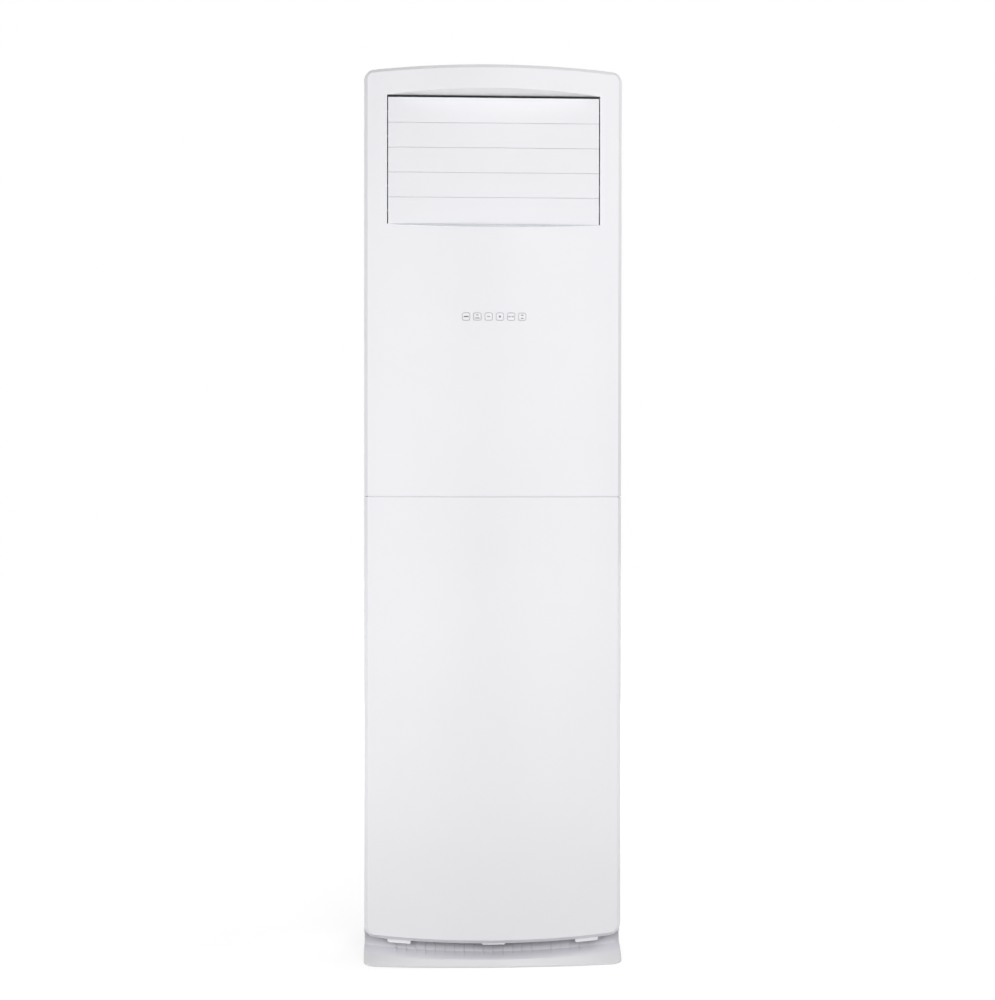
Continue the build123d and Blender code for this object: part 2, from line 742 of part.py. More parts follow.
def grip_tab(tab_x, low_z):
    half = tab_width / 2
    with BuildPart() as tab:
        with BuildSketch(Plane.XZ.offset(-front_y)):
            with BuildLine():
                Polyline(
                    (tab_x - half, panel_bottom_z + panel_wall),
                    (tab_x - half, low_z + tab_chamfer),
                    (tab_x - half + tab_chamfer, low_z),
                    (tab_x + half - tab_chamfer, low_z),
                    (tab_x + half, low_z + tab_chamfer),
                    (tab_x + half, panel_bottom_z + panel_wall),
                    close=True,
                )
            make_face()
        extrude(amount=-moulding_depth)
        with Locations((0, front_y + bow_radius, panel_bottom_z)):
            Cylinder(bow_radius - rim, 4 * bottom_corner_radius, mode=Mode.INTERSECT)
            Cylinder(bow_radius - rim - tab_thickness, 4 * bottom_corner_radius, mode=Mode.SUBTRACT)
    return tab.part


with BuildPart() as front_panel_lower:
    add(lower_outside)
    add(lower_inside, mode=Mode.SUBTRACT)
    extrude(base_clearance, amount=base_height - panel_bottom_z, mode=Mode.SUBTRACT)
    for tab_x, tab_drop in grip_tabs:
        add(grip_tab(tab_x, panel_bottom_z - tab_drop))
finish(front_panel_lower, "front_panel_lower")

# ---- Keys and the key board -------------------------------------------------------------------
def key_seat_y(x):
    reach = abs(x) + key_size / 2 + key_flange
    return front_y + panel_wall + bow_depth(reach, bow_radius - panel_wall) + fit_gap


def key_cap(number):
    x = key_x(number)
    seat_y = key_seat_y(x)
    with BuildPart() as cap:
        with BuildSketch(Plane.XZ.offset(-front_y)):
            with Locations((x, key_z)):
                RectangleRounded(key_size, key_size, key_corner)
        extrude(amount=-(seat_y - front_y))
        with Locations((0, front_y + bow_radius, key_z)):
            Cylinder(bow_radius, 2 * key_size, mode=Mode.INTERSECT)
        with BuildSketch(Plane.XZ.offset(-seat_y)):
            with Locations((x, key_z)):
                RectangleRounded(key_size + 2 * key_flange, key_size + 2 * key_flange, key_corner)
        extrude(amount=-key_flange_thickness)
        with BuildSketch(Plane.XZ.offset(-seat_y)):
            with Locations((x, key_z)):
                Circle(key_stem_radius)
        extrude(amount=-(key_stem_end_y - seat_y))
    return cap


for number in range(key_count):
    key = key_cap(number)
    finish(key, f"key_{number + 1}")

with BuildPart() as key_board:
    with BuildSketch(Plane.XZ.offset(-key_board_y)):
        with Locations((0, key_z)):
            RectangleRounded(
                2 * (board_post_x + key_board_margin),
                2 * (board_post_z + key_board_margin),
                grille_corner,
            )
    extrude(amount=-board_thickness)
    with BuildSketch(Plane.XZ.offset(-key_board_y)):
        with Locations((0, key_z)):
            with GridLocations(key_pitch, 0, key_count, 1):
                Rectangle(switch_size, switch_size)
    extrude(amount=switch_height)
    with BuildSketch(Plane.XZ.offset(-key_board_y)):
        with Locations((0, key_z)):
            with GridLocations(key_pitch, 0, key_count, 1):
                Circle(plunger_radius)
    extrude(amount=switch_height + plunger_height)
    with BuildSketch(Plane.XZ.offset(-key_board_y - board_thickness)):
        with Locations((-key_pitch / 2, key_z - socket_drop), (1.5 * key_pitch, key_z - socket_drop)):
            Rectangle(socket_size[0], socket_size[1])
    extrude(amount=-socket_size[2])
finish(key_board, "key_board")

# ---- Cross beam and coil cover ----------------------------------------------------------------
with BuildPart() as cross_beam:
    with BuildSketch(Plane.YZ):
        with BuildLine():
            Polyline(
                (pan_front_y, tray_z - beam_height),
                (beam_back_y, tray_z - beam_height),
                (beam_back_y, tray_z - beam_height + 2 * sheet),
                (pan_front_y + 2 * sheet, tray_z - beam_height + 2 * sheet),
                (pan_front_y + 2 * sheet, tray_z - 2 * sheet),
                (beam_back_y, tray_z - 2 * sheet),
                (beam_back_y, tray_z),
                (pan_front_y, tray_z),
                close=True,
            )
        make_face()
    extrude(amount=pan_half, both=True)
finish(cross_beam, "cross_beam")

with BuildPart() as coil_cover:
    with BuildSketch(Plane.XZ.offset(-pan_front_y)):
        with Locations((0, (tray_z + fit_gap + cover_high_z) / 2)):
            Rectangle(2 * pan_half, cover_high_z - tray_z - fit_gap)
    extrude(amount=-2 * sheet)
    # Pressed stiffening ribs
    with BuildSketch(Plane.XZ.offset(-pan_front_y)):
        with Locations((0, (tray_z + cover_high_z) / 2)):
            with GridLocations(cover_rib_pitch, 0, 3, 1):
                SlotOverall(cover_high_z - tray_z - 2 * cover_rib_inset, cover_rib_width, rotation=90)
    extrude(amount=2 * sheet)
finish(coil_cover, "coil_cover")

# ---- Outlet frame -----------------------------------------------------------------------------
def slat_z(number):
    return slat_low_z + (number + 0.5) * slat_pitch


def vane_x(number):
    return (number - (vane_count - 1) / 2) * vane_pitch


with BuildPart() as outlet_frame:
    with BuildSketch(Plane.XZ.offset(-frame_front_y)):
        with Locations((0, (frame_low_z + frame_high_z) / 2)):
            Rectangle(2 * frame_outer_half, frame_high_z - frame_low_z + 2 * frame_wall)
            Rectangle(2 * frame_half, frame_high_z - frame_low_z, mode=Mode.SUBTRACT)
    extrude(amount=-(frame_back_y - frame_front_y))
    # Wings that fasten the frame to the steel sides
    with BuildSketch(Plane.XZ.offset(-pan_front_y)):
        with Locations((0, (frame_low_z + frame_high_z) / 2)):
            Rectangle(2 * pan_half, frame_high_z - frame_low_z + 2 * frame_wall)
            Rectangle(2 * frame_half, frame_high_z - frame_low_z, mode=Mode.SUBTRACT)
    extrude(amount=-2 * sheet)
    with BuildSketch(Plane.YZ.offset(-frame_outer_half - 1)):
        for number in range(slat_count):
            with Locations((slat_axis_y, slat_z(number))):
                Circle(slat_pin_radius + running_clearance)
    extrude(amount=2 * frame_outer_half + 2, mode=Mode.SUBTRACT)
    with BuildSketch(Plane.XY.offset(frame_low_z - frame_wall - 1)):
        for number in range(vane_count):
            with Locations((vane_x(number), vane_axis_y)):
                Circle(slat_pin_radius + running_clearance)
    extrude(amount=frame_high_z - frame_low_z + 2 * frame_wall + 2, mode=Mode.SUBTRACT)
finish(outlet_frame, "outlet_frame")

# ---- Slats and their link ---------------------------------------------------------------------
def slat(number):
    z = slat_z(number)
    low_z = z - slat_height / 2 - (slat_skirt if number == 0 else 0)
    high_z = z + slat_height / 2 + (slat_crown if number == slat_count - 1 else 0)
    back_y = slat_face_y + slat_thickness
    with BuildPart() as blade:
        with BuildSketch(Plane.YZ):
            with BuildLine():
                Polyline(
                    (slat_face_y, low_z + slat_edge),
                    (slat_face_y + slat_edge, low_z),
                    (back_y + slat_lip, low_z),
                    (back_y + slat_lip, low_z + slat_thickness),
                    (back_y, low_z + slat_thickness + slat_lip),
                    (back_y, high_z - slat_thickness - slat_lip),
                    (back_y + slat_lip, high_z - slat_thickness),
                    (back_y + slat_lip, high_z),
                    (slat_face_y + slat_edge, high_z),
                    (slat_face_y, high_z - slat_edge),
                    close=True,
                )
            make_face()
        extrude(amount=slat_half, both=True)
        for side in (-1, 1):
            with BuildSketch(Plane.YZ.offset(side * slat_half)):
                with BuildLine():
                    Polyline(
                        (slat_face_y + 1, z - slat_ear_root),
                        (slat_axis_y + slat_ear, z - slat_ear),
                        (slat_axis_y + slat_ear, z + slat_ear),
                        (slat_face_y + 1, z + slat_ear_root),
                        close=True,
                    )
                make_face()
            extrude(amount=-side * slat_thickness)
            with BuildSketch(Plane.YZ.offset(side * slat_half)):
                with Locations((slat_axis_y, z)):
                    Circle(slat_pin_radius)
            extrude(amount=side * pin_reach)
        # Crank outside the frame's left cheek, and its pin for the link
        with BuildSketch(Plane.YZ.offset(-slat_half - pin_reach)):
            with Locations((slat_axis_y, z)):
                Circle(slat_pin_radius)
        extrude(amount=-2 * fit_gap)
        with BuildSketch(Plane.YZ.offset(crank_x)):
            with Locations((slat_axis_y + slat_crank / 2, z)):
                SlotCenterToCenter(slat_crank, 2 * slat_ear)
        extrude(amount=-slat_thickness)
        with BuildSketch(Plane.YZ.offset(crank_x - slat_thickness)):
            with Locations((slat_axis_y + slat_crank, z)):
                Circle(link_pin_radius)
        extrude(amount=-link_thickness - 2 * fit_gap)
    return blade


for number in range(slat_count):
    blade = slat(number)
    finish(blade, f"slat_{number + 1}")

with BuildPart() as slat_link:
    with BuildSketch(Plane.YZ.offset(link_x)):
        with Locations((slat_axis_y + slat_crank, slat_z((slat_count - 1) / 2))):
            SlotCenterToCenter((slat_count - 1) * slat_pitch, link_width, rotation=90)
        for number in range(slat_count):
            with Locations((slat_axis_y + slat_crank, slat_z(number))):
                Circle(link_pin_radius + running_clearance, mode=Mode.SUBTRACT)
    extrude(amount=-link_thickness)
finish(slat_link, "slat_link")


with BuildPart() as slat_motor:
    with BuildSketch(Plane.YZ.offset(frame_outer_half)):
        with Locations((slat_axis_y + stepper_offset, slat_z(drive_slat))):
            Circle(stepper_radius)
    extrude(amount=stepper_length)
    with BuildSketch(Plane.YZ.offset(frame_outer_half)):
        with Locations((slat_axis_y + stepper_offset, slat_z(drive_slat))):
            SlotOverall(stepper_ear[0], stepper_ear[1], rotation=90)
    extrude(amount=stepper_ear[2])
    with BuildSketch(Plane.YZ.offset(frame_outer_half + stepper_ear[2])):
        with Locations((slat_axis_y + stepper_offset + stepper_radius, slat_z(drive_slat))):
            Rectangle(*stepper_plug)
    extrude(amount=stepper_length - 2 * stepper_ear[2])
finish(slat_motor, "slat_motor")

# ---- Upright vanes and their link -------------------------------------------------------------
def vane(number):
    x = vane_x(number)
    with BuildPart() as blade:
        with BuildSketch(Plane.YZ.offset(x)):
            with Locations((vane_axis_y, (vane_low_z + vane_high_z) / 2)):
                RectangleRounded(vane_chord, vane_high_z - vane_low_z, vane_corner)
            with Locations((vane_axis_y + vane_crank, vane_low_z + vane_notch / 2)):
                Rectangle(link_width + 8, vane_notch, mode=Mode.SUBTRACT)
        extrude(amount=vane_thickness / 2, both=True)
        with BuildSketch(Plane.XY.offset(vane_low_z)):
            with Locations((x, vane_axis_y)):
                Circle(vane_thickness)
        extrude(amount=vane_high_z - vane_low_z)
        with BuildSketch(Plane.XY.offset(frame_low_z - frame_wall + fit_gap)):
            with Locations((x, vane_axis_y)):
                Circle(slat_pin_radius)
        extrude(amount=frame_wall)
        with BuildSketch(Plane.XY.offset(vane_high_z)):
            with Locations((x, vane_axis_y)):
                Circle(slat_pin_radius)
        extrude(amount=frame_wall)
        with BuildSketch(Plane.XY.offset(vane_link_z - fit_gap)):
            with Locations((x, vane_axis_y + vane_crank)):
                Circle(link_pin_radius)
        extrude(amount=vane_low_z + vane_notch + 2 - vane_link_z)
        with BuildSketch(Plane.XY.offset(vane_low_z + vane_notch)):
            with Locations((x, vane_axis_y + vane_crank)):
                Circle(link_pin_radius + 1)
        extrude(amount=vane_boss)
    return blade


for number in range(vane_count):
    blade = vane(number)
    finish(blade, f"vane_{number + 1}")

with BuildPart() as vane_link:
    with BuildSketch(Plane.XY.offset(vane_link_z)):
        with Locations((0, vane_axis_y + vane_crank)):
            SlotCenterToCenter((vane_count - 1) * vane_pitch, link_width)
            with GridLocations(vane_pitch, 0, vane_count, 1):
                Circle(link_pin_radius + running_clearance, mode=Mode.SUBTRACT)
    extrude(amount=link_thickness)
finish(vane_link, "vane_link")


with BuildPart() as vane_motor:
    with BuildSketch(Plane.XY.offset(frame_high_z + frame_wall)):
        with Locations((vane_x(drive_vane) + stepper_offset, vane_axis_y)):
            Circle(stepper_radius)
    extrude(amount=stepper_length)
    with BuildSketch(Plane.XY.offset(frame_high_z + frame_wall)):
        with Locations((vane_x(drive_vane) + stepper_offset, vane_axis_y)):
            SlotOverall(stepper_ear[0], stepper_ear[1], rotation=90)
    extrude(amount=stepper_ear[2])
    with BuildSketch(Plane.XY.offset(frame_high_z + frame_wall + stepper_ear[2])):
        with Locations((vane_x(drive_vane) + stepper_offset + stepper_radius, vane_axis_y)):
            Rectangle(*stepper_plug)
    extrude(amount=stepper_length - 2 * stepper_ear[2])
finish(vane_motor, "vane_motor")

# ---- Side intakes: grilles and filters --------------------------------------------------------
def intake_grille(side):
    with BuildPart() as grille:
        with BuildSketch(Plane.YZ.offset(side * body_half)):
            with Locations((intake_y, intake_z)):
                RectangleRounded(grille_width, grille_height, grille_corner)
                with GridLocations(0, grille_slot_pitch, 1, grille_slot_count):
                    SlotOverall(grille_slot_length, grille_slot_height, mode=Mode.SUBTRACT)
        extrude(amount=-side * grille_thickness)
    return grille


def intake_filter(side):
    with BuildPart() as screen:
        with BuildSketch(Plane.YZ.offset(side * (body_half - grille_thickness))):
            with Locations((intake_y, intake_z)):
                Rectangle(grille_width, grille_height)
                with GridLocations(0, filter_cell_pitch, 1, filter_cells):
                    Rectangle(
                        grille_width - 2 * filter_rib,
                        filter_cell_pitch - filter_rib,
                        mode=Mode.SUBTRACT,
                    )
        extrude(amount=-side * filter_thickness)
        with BuildSketch(Plane.YZ.offset(side * (body_half - grille_thickness - filter_thickness / 2))):
            with Locations((intake_y, intake_z)):
                Rectangle(grille_width - filter_rib, grille_height - filter_rib)
        extrude(amount=-side * filter_mesh)
    return screen


for side, word in ((-1, "left"), (1, "right")):
    grille = intake_grille(side)
    finish(grille, f"{word}_intake_grille")
    screen = intake_filter(side)
    finish(screen, f"{word}_intake_filter")

# ---- Partition --------------------------------------------------------------------------------
with BuildPart() as partition_plate:
    with BuildSketch(Plane.XY.offset(partition_z)):
        with Locations((0, (pan_front_y + pan_back_y) / 2)):
            Rectangle(2 * pan_half, pan_back_y - pan_front_y)
        with Locations(
            ((discharge_left_x + scroll_large) / 2, (scroll_front_y + scroll_back_y) / 2)
        ):
            Rectangle(
                scroll_large - discharge_left_x,
                scroll_back_y - scroll_front_y,
                mode=Mode.SUBTRACT,
            )
        with Locations((-pan_half, (notch_low_y + notch_high_y) / 2)):
            Rectangle(2 * notch_width, notch_high_y - notch_low_y, mode=Mode.SUBTRACT)
    extrude(amount=sheet)
finish(partition_plate, "partition_plate")


# ---- Scroll housing ---------------------------------------------------------------------------
def scroll_sketch(grow, y):
    """The air passage seen from the front, grown by a wall: a spiral that opens into the discharge."""
    points = []
    for step in range(scroll_spans + 1):
        angle = radians(tongue_angle + (360 - tongue_angle) * step / scroll_spans)
        radius = scroll_small + (scroll_large - scroll_small) * step / scroll_spans + grow
        points.append((radius * cos(angle), fan_z + radius * sin(angle)))
    with BuildSketch(Plane.XZ.offset(-y)) as sketch:
        with BuildLine():
            Spline(*points)
            Polyline(
                points[-1],
                (scroll_large + grow, partition_z),
                (discharge_left_x - grow, partition_z),
                points[0],
            )
        make_face()
    return sketch.sketch


with BuildPart() as scroll_rear:
    extrude(
        scroll_sketch(scroll_wall, scroll_front_y),
        amount=-(scroll_back_y + scroll_wall - scroll_front_y),
    )
    extrude(
        scroll_sketch(0, scroll_front_y),
        amount=-(scroll_back_y - scroll_front_y),
        mode=Mode.SUBTRACT,
    )
    with Locations(along_y(0, scroll_back_y, fan_z)):
        Cylinder(motor_radius + fit_gap, 4 * scroll_wall, mode=Mode.SUBTRACT)
finish(scroll_rear, "scroll_rear")

with BuildPart() as scroll_front:
    extrude(scroll_sketch(scroll_wall, scroll_front_y - scroll_wall), amount=-scroll_wall)
    with Locations(along_y(0, scroll_front_y, fan_z)):
        Cylinder(inlet_radius + inlet_flare, 4 * scroll_wall, mode=Mode.SUBTRACT)
    # Bellmouth, pressed into the plate, which runs into the wheel's front ring
    with BuildSketch(Plane.XY.offset(fan_z)):
        with BuildLine():
            Polyline(
                (inlet_radius + inlet_flare - running_clearance, scroll_front_y - scroll_wall),
                (inlet_radius + inlet_flare - inlet_wall, scroll_front_y - scroll_wall),
                (inlet_radius + inlet_wall, scroll_front_y + scroll_wall),
                (inlet_radius, scroll_front_y + wheel_gap * 0.75),
                (inlet_radius, wheel_front_y + wheel_ring),
                (inlet_radius + inlet_wall, wheel_front_y + wheel_ring),
                (inlet_radius + inlet_wall, scroll_front_y + wheel_gap * 0.75),
                (inlet_radius + 2 * inlet_wall, scroll_front_y + scroll_wall + inlet_wall),
                (inlet_radius + inlet_flare - inlet_wall, scroll_front_y),
                (inlet_radius + inlet_flare - running_clearance, scroll_front_y),
                close=True,
            )
        make_face()
    revolve(axis=Axis((0, 0, fan_z), (0, 1, 0)))
finish(scroll_front, "scroll_front")

# ---- Fan wheel, shaft and motor ---------------------------------------------------------------
with BuildPart() as fan_wheel:
    with BuildSketch(Plane.XY.offset(fan_z)):
        with BuildLine():
            Polyline(
                (shaft_radius, hub_front_y - wheel_disc),
                (hub_radius - 4 * wheel_disc, hub_front_y - wheel_disc),
                (hub_radius, hub_front_y + 2 * wheel_disc),
                (hub_radius + wheel_disc, wheel_back_y - wheel_disc),
                (wheel_radius, wheel_back_y - wheel_disc),
                (wheel_radius, wheel_back_y),
                (hub_radius, wheel_back_y),
                (hub_radius - wheel_disc, hub_front_y + 3 * wheel_disc),
                (hub_radius - 5 * wheel_disc, hub_front_y),
                (shaft_radius + hub_boss, hub_front_y),
                (shaft_radius + hub_boss, hub_front_y + hub_boss / 2),
                (shaft_radius, hub_front_y + hub_boss / 2),
                close=True,
            )
        make_face()
        with BuildLine():
            Polyline(
                (wheel_radius - wheel_ring_width, wheel_front_y),
                (wheel_radius, wheel_front_y),
                (wheel_radius, wheel_front_y + wheel_ring),
                (wheel_radius - wheel_ring_width, wheel_front_y + wheel_ring),
                close=True,
            )
        make_face()
    revolve(axis=Axis((0, 0, fan_z), (0, 1, 0)))
    # Blades, staked between the ring and the disc
    blade_front_y = wheel_front_y + wheel_ring + running_clearance
    blade_back_y = wheel_back_y - wheel_disc - running_clearance
    with BuildSketch(Plane.XZ.offset(-blade_front_y)):
        with Locations((0, fan_z)):
            with PolarLocations(wheel_radius - wheel_blade_depth / 2 - 1, wheel_blade_count):
                Rectangle(wheel_blade_depth - 2, wheel_blade_thickness, rotation=wheel_blade_angle)
    extrude(amount=-(blade_back_y - blade_front_y))
finish(fan_wheel, "fan_wheel")

with BuildPart() as fan_shaft:
    with Locations(along_y(0, hub_front_y - wheel_disc - shaft_nut[1], fan_z)):
        Cylinder(
            shaft_radius,
            motor_front_y + shaft_in_motor - hub_front_y + wheel_disc + shaft_nut[1],
            align=on_its_foot,
        )
        Cylinder(*shaft_nut, align=on_its_foot)
finish(fan_shaft, "fan_shaft")

with BuildPart() as fan_motor:
    with BuildSketch(Plane.XY.offset(fan_z)):
        with BuildLine():
            Polyline(
                (shaft_radius + running_clearance, motor_front_y),
                (motor_nose[0], motor_front_y),
                (motor_nose[0] + motor_edge, motor_front_y + motor_nose[1]),
                (motor_radius - motor_edge, motor_front_y + motor_nose[1]),
                (motor_radius, motor_front_y + motor_nose[1] + motor_edge),
                (motor_radius, motor_back_y),
                (0, motor_back_y),
                (0, motor_front_y + shaft_in_motor + 2),
                (shaft_radius + running_clearance, motor_front_y + shaft_in_motor + 2),
                close=True,
            )
        make_face()
    revolve(axis=Axis((0, 0, fan_z), (0, 1, 0)))
finish(fan_motor, "fan_motor")

with BuildPart() as motor_mount:
    with BuildSketch(Plane.XZ.offset(-motor_back_y)):
        with Locations((0, fan_z)):
            RectangleRounded(mount_width, 2 * motor_radius, mount_corner)
            with GridLocations(
                mount_width - 2 * mount_hole_inset, 2 * (motor_radius - mount_hole_inset), 2, 2
            ):
                Circle(mount_hole_radius, mode=Mode.SUBTRACT)
    extrude(amount=-mount_thickness)
finish(motor_mount, "motor_mount")

# ---- Coil with its end plates and return bends ------------------------------------------------
coil_foot = (0, coil_foot_y, coil_foot_z)
coil_plane = Plane(origin=coil_foot, x_dir=(1, 0, 0), z_dir=(0, coil_sine, coil_cosine))
bend_plane = Plane(origin=coil_foot, x_dir=(1, 0, 0), z_dir=(0, -coil_cosine, coil_sine))


def coil_point(along, across):
    return (
        coil_foot_y + along * coil_sine + across * coil_cosine,
        coil_foot_z + along * coil_cosine - across * coil_sine,
    )


with BuildPart() as evaporator_core:
    with BuildSketch(coil_plane):
        Rectangle(coil_width, coil_thickness)
        for face in (-1, 1):
            with Locations((0, face * (coil_thickness - fin_depth) / 2)):
                with GridLocations(fin_pitch, 0, groove_count, 1):
                    Rectangle(fin_groove, fin_depth, mode=Mode.SUBTRACT)
    extrude(amount=coil_length)
finish(evaporator_core, "evaporator_core")

with BuildPart() as evaporator_end_plates:
    with BuildSketch(coil_plane.offset(-end_plate_margin)):
        with GridLocations(coil_width + end_plate, 0, 2, 1):
            Rectangle(end_plate, end_plate_width)
    extrude(amount=coil_length + 2 * end_plate_margin)
finish(evaporator_end_plates, "evaporator_end_plates")


def bend_path(start):
    turn_x = coil_side_x + bend_stub
    with BuildLine(bend_plane) as path:
        Line((coil_side_x, start), (turn_x, start))
        ThreePointArc(
            (turn_x, start), (turn_x + bend_radius, start + bend_radius), (turn_x, start + 2 * bend_radius)
        )
        Line((turn_x, start + 2 * bend_radius), (coil_side_x, start + 2 * bend_radius))
    return path.wire()


with BuildPart() as return_bends:
    for number in range(bend_count):
        path = bend_path(first_bend + number * bend_pitch)
        with BuildSketch(Plane(origin=path @ 0, z_dir=path % 0)):
            Circle(tube_radius)
        sweep(path=path)
finish(return_bends, "return_bends")

# ---- Drain tray -------------------------------------------------------------------------------
with BuildPart() as drain_tray:
    with Locations((0, tray_y, tray_z)):
        Box(2 * pan_half, tray_depth, tray_height, align=on_its_foot)
    with Locations((0, tray_y, tray_z + tray_wall)):
        Box(
            2 * (pan_half - tray_wall),
            tray_depth - 2 * tray_wall,
            tray_height,
            align=on_its_foot,
            mode=Mode.SUBTRACT,
        )
    # Rests under the coil's end plates
    rest_front = coil_point(-end_plate_margin - fit_gap, -end_plate_width / 2)
    rest_back = coil_point(-end_plate_margin - fit_gap, end_plate_width / 2)
    for side in (-1, 1):
        with BuildSketch(Plane.YZ.offset(side * (coil_width + end_plate) / 2)):
            with BuildLine():
                Polyline(
                    (rest_front[0], tray_z + tray_wall / 2),
                    (rest_back[0], tray_z + tray_wall / 2),
                    rest_back,
                    rest_front,
                    close=True,
                )
            make_face()
        extrude(amount=coil_rest / 2, both=True)
    with BuildSketch(Plane.XY.offset(tray_z)):
        with Locations((spout_x, spout_y)):
            Circle(spout_radius)
    extrude(amount=-spout_length)
    with Locations((spout_x, spout_y, tray_z)):
        Cylinder(spout_bore, 2 * (spout_length + tray_wall), mode=Mode.SUBTRACT)
finish(drain_tray, "drain_tray")


# ---- Pipes and the drain hose -----------------------------------------------------------------
def pipe_path(points, bend):
    with BuildLine() as path:
        FilletPolyline(*points, radius=bend)
    return path.wire()


def pipe(path, outer, bore):
    with BuildPart() as tube:
        with BuildSketch(Plane(origin=path @ 0, z_dir=path % 0)):
            Circle(outer)
            Circle(bore, mode=Mode.SUBTRACT)
        sweep(path=path)
    return tube


def coil_pipe(y, end_z, bend, outer, nut):
    """A pipe from the coil's left end plate down to its union near the rear panel."""
    top_z = coil_foot_z + (y - coil_foot_y) * coil_cosine / coil_sine
    points = (
        (-coil_side_x, y, top_z),
        (pipe_x, y, top_z),
        (pipe_x, y, end_z),
        (pipe_x, union_y + union_length, end_z),
    )
    tube = pipe(pipe_path(points, bend), outer, outer - pipe_wall)
    with BuildPart() as joined:
        add(tube.part)
        with BuildSketch(Plane.XZ.offset(-union_y)):
            with Locations((pipe_x, end_z)):
                RegularPolygon(nut, 6)
                Circle(outer - pipe_wall, mode=Mode.SUBTRACT)
        extrude(amount=-union_length)
    return joined


gas_pipe = coil_pipe(gas_pipe_y, gas_end_z, gas_bend, gas_pipe_radius, gas_nut)
finish(gas_pipe, "gas_pipe")
liquid_pipe = coil_pipe(liquid_pipe_y, liquid_end_z, liquid_bend, liquid_pipe_radius, liquid_nut)
finish(liquid_pipe, "liquid_pipe")

hose_points = (
    (spout_x, spout_y, tray_z - fit_gap),
    (spout_x, spout_y, tray_z - hose_drop),
    (pipe_x, hose_y, partition_z + hose_rise),
    (pipe_x, hose_y, hose_low_z),
    (hose_exit_x, hose_y + hose_sweep, hose_low_z),
    (hose_exit_x, union_y + union_length, hose_low_z),
)
drain_hose = pipe(pipe_path(hose_points, hose_bend), hose_radius, hose_bore)
finish(drain_hose, "drain_hose")

# ---- Foam lining of the duct behind the outlet ------------------------------------------------
liner_inner_x = frame_outer_half + liner_gap
liner_back_y = rear_y - screw_length - fit_gap
liner_top_z = frame_high_z + 2 * frame_wall
liner_y = frame_back_y + liner_gap

with BuildPart() as duct_liner:
    with BuildSketch(Plane.XY.offset(frame_low_z + liner_gap)):
        for side in (-1, 1):
            with Locations((side * (liner_inner_x + pan_half) / 2, (tray_front_y + liner_back_y) / 2)):
                Rectangle(pan_half - liner_inner_x, liner_back_y - tray_front_y)
    extrude(amount=side_top_z - fit_gap - frame_low_z - liner_gap)
    with BuildSketch(Plane.XY.offset(liner_top_z)):
        with Locations((0, (liner_y + liner_back_y) / 2)):
            Rectangle(2 * frame_outer_half, liner_back_y - liner_y)
    extrude(amount=total_height - cover_wall - fit_gap - liner_top_z)
finish(duct_liner, "duct_liner")

# ---- Control box on the scroll's front --------------------------------------------------------
with BuildPart() as control_box:
    with Locations((box_x, box_back_y, box_bottom_z)):
        Box(box_width, box_depth, box_height, align=against_the_back)
    with Locations((box_x, box_back_y - box_wall, box_bottom_z + box_wall)):
        Box(
            box_width - 2 * box_wall,
            box_depth,
            box_height - 2 * box_wall,
            align=against_the_back,
            mode=Mode.SUBTRACT,
        )
    with BuildSketch(Plane.XZ.offset(box_wall - box_back_y)):
        with Locations((box_x, board_z)):
            with GridLocations(
                board_size[0] - 2 * board_post_inset, board_size[1] - 2 * board_post_inset, 2, 2
            ):
                Circle(mount_hole_radius)
    extrude(amount=board_post)
finish(control_box, "control_box")

with BuildPart() as control_box_cover:
    cover_grow = 2 * (box_wall + fit_gap)
    with Locations((box_x, box_front_y + box_lip, box_bottom_z - cover_grow / 2)):
        Box(box_width + cover_grow, box_lip + box_wall, box_height + cover_grow, align=against_the_back)
    with Locations((box_x, box_front_y + box_lip, box_bottom_z - fit_gap)):
        Box(
            box_width + 2 * fit_gap,
            box_lip,
            box_height + 2 * fit_gap,
            align=against_the_back,
            mode=Mode.SUBTRACT,
        )
finish(control_box_cover, "control_box_cover")



def on_board(place, size, count=1, pitch=0):
    """A row of blocks standing on the main board."""
    with BuildPart() as row:
        with BuildSketch(Plane.XZ.offset(board_thickness - board_back_y)):
            with Locations((box_x + place[0], board_z + place[1])):
                with GridLocations(pitch, 0, count, 1):
                    Rectangle(size[0], size[1])
        extrude(amount=size[2])
    return row.part


with BuildPart() as main_board:
    with BuildSketch(Plane.XZ.offset(-board_back_y)):
        with Locations((box_x, board_z)):
            Rectangle(*board_size)
    extrude(amount=board_thickness)
    with BuildSketch(Plane.XZ.offset(board_thickness - board_back_y)):
        with Locations((box_x + capacitor_place[0], board_z + capacitor_place[1])):
            with GridLocations(2 * capacitor[0] + 4, 0, 2, 1):
                Circle(capacitor[0])
    extrude(amount=capacitor[1])
    add(on_board(heat_sink_place, heat_sink))
    heat_sink_grooves = (*heat_sink_groove, heat_sink[2])
    add(on_board(heat_sink_place, heat_sink_grooves, 6, heat_sink_pitch), mode=Mode.SUBTRACT)
    add(on_board(relay_place, relay, 3, relay_pitch))
    add(on_board(transformer_place, transformer))
    add(on_board((0, -plug_drop), plug, plug_count, plug_pitch))
finish(main_board, "main_board")

terminal_x = box_x + terminal_place[0]
terminal_low_z = box_bottom_z + terminal_place[1]
terminal_z = terminal_low_z + terminal_size[2] / 2
terminal_front_y = box_back_y - box_wall - terminal_size[1]

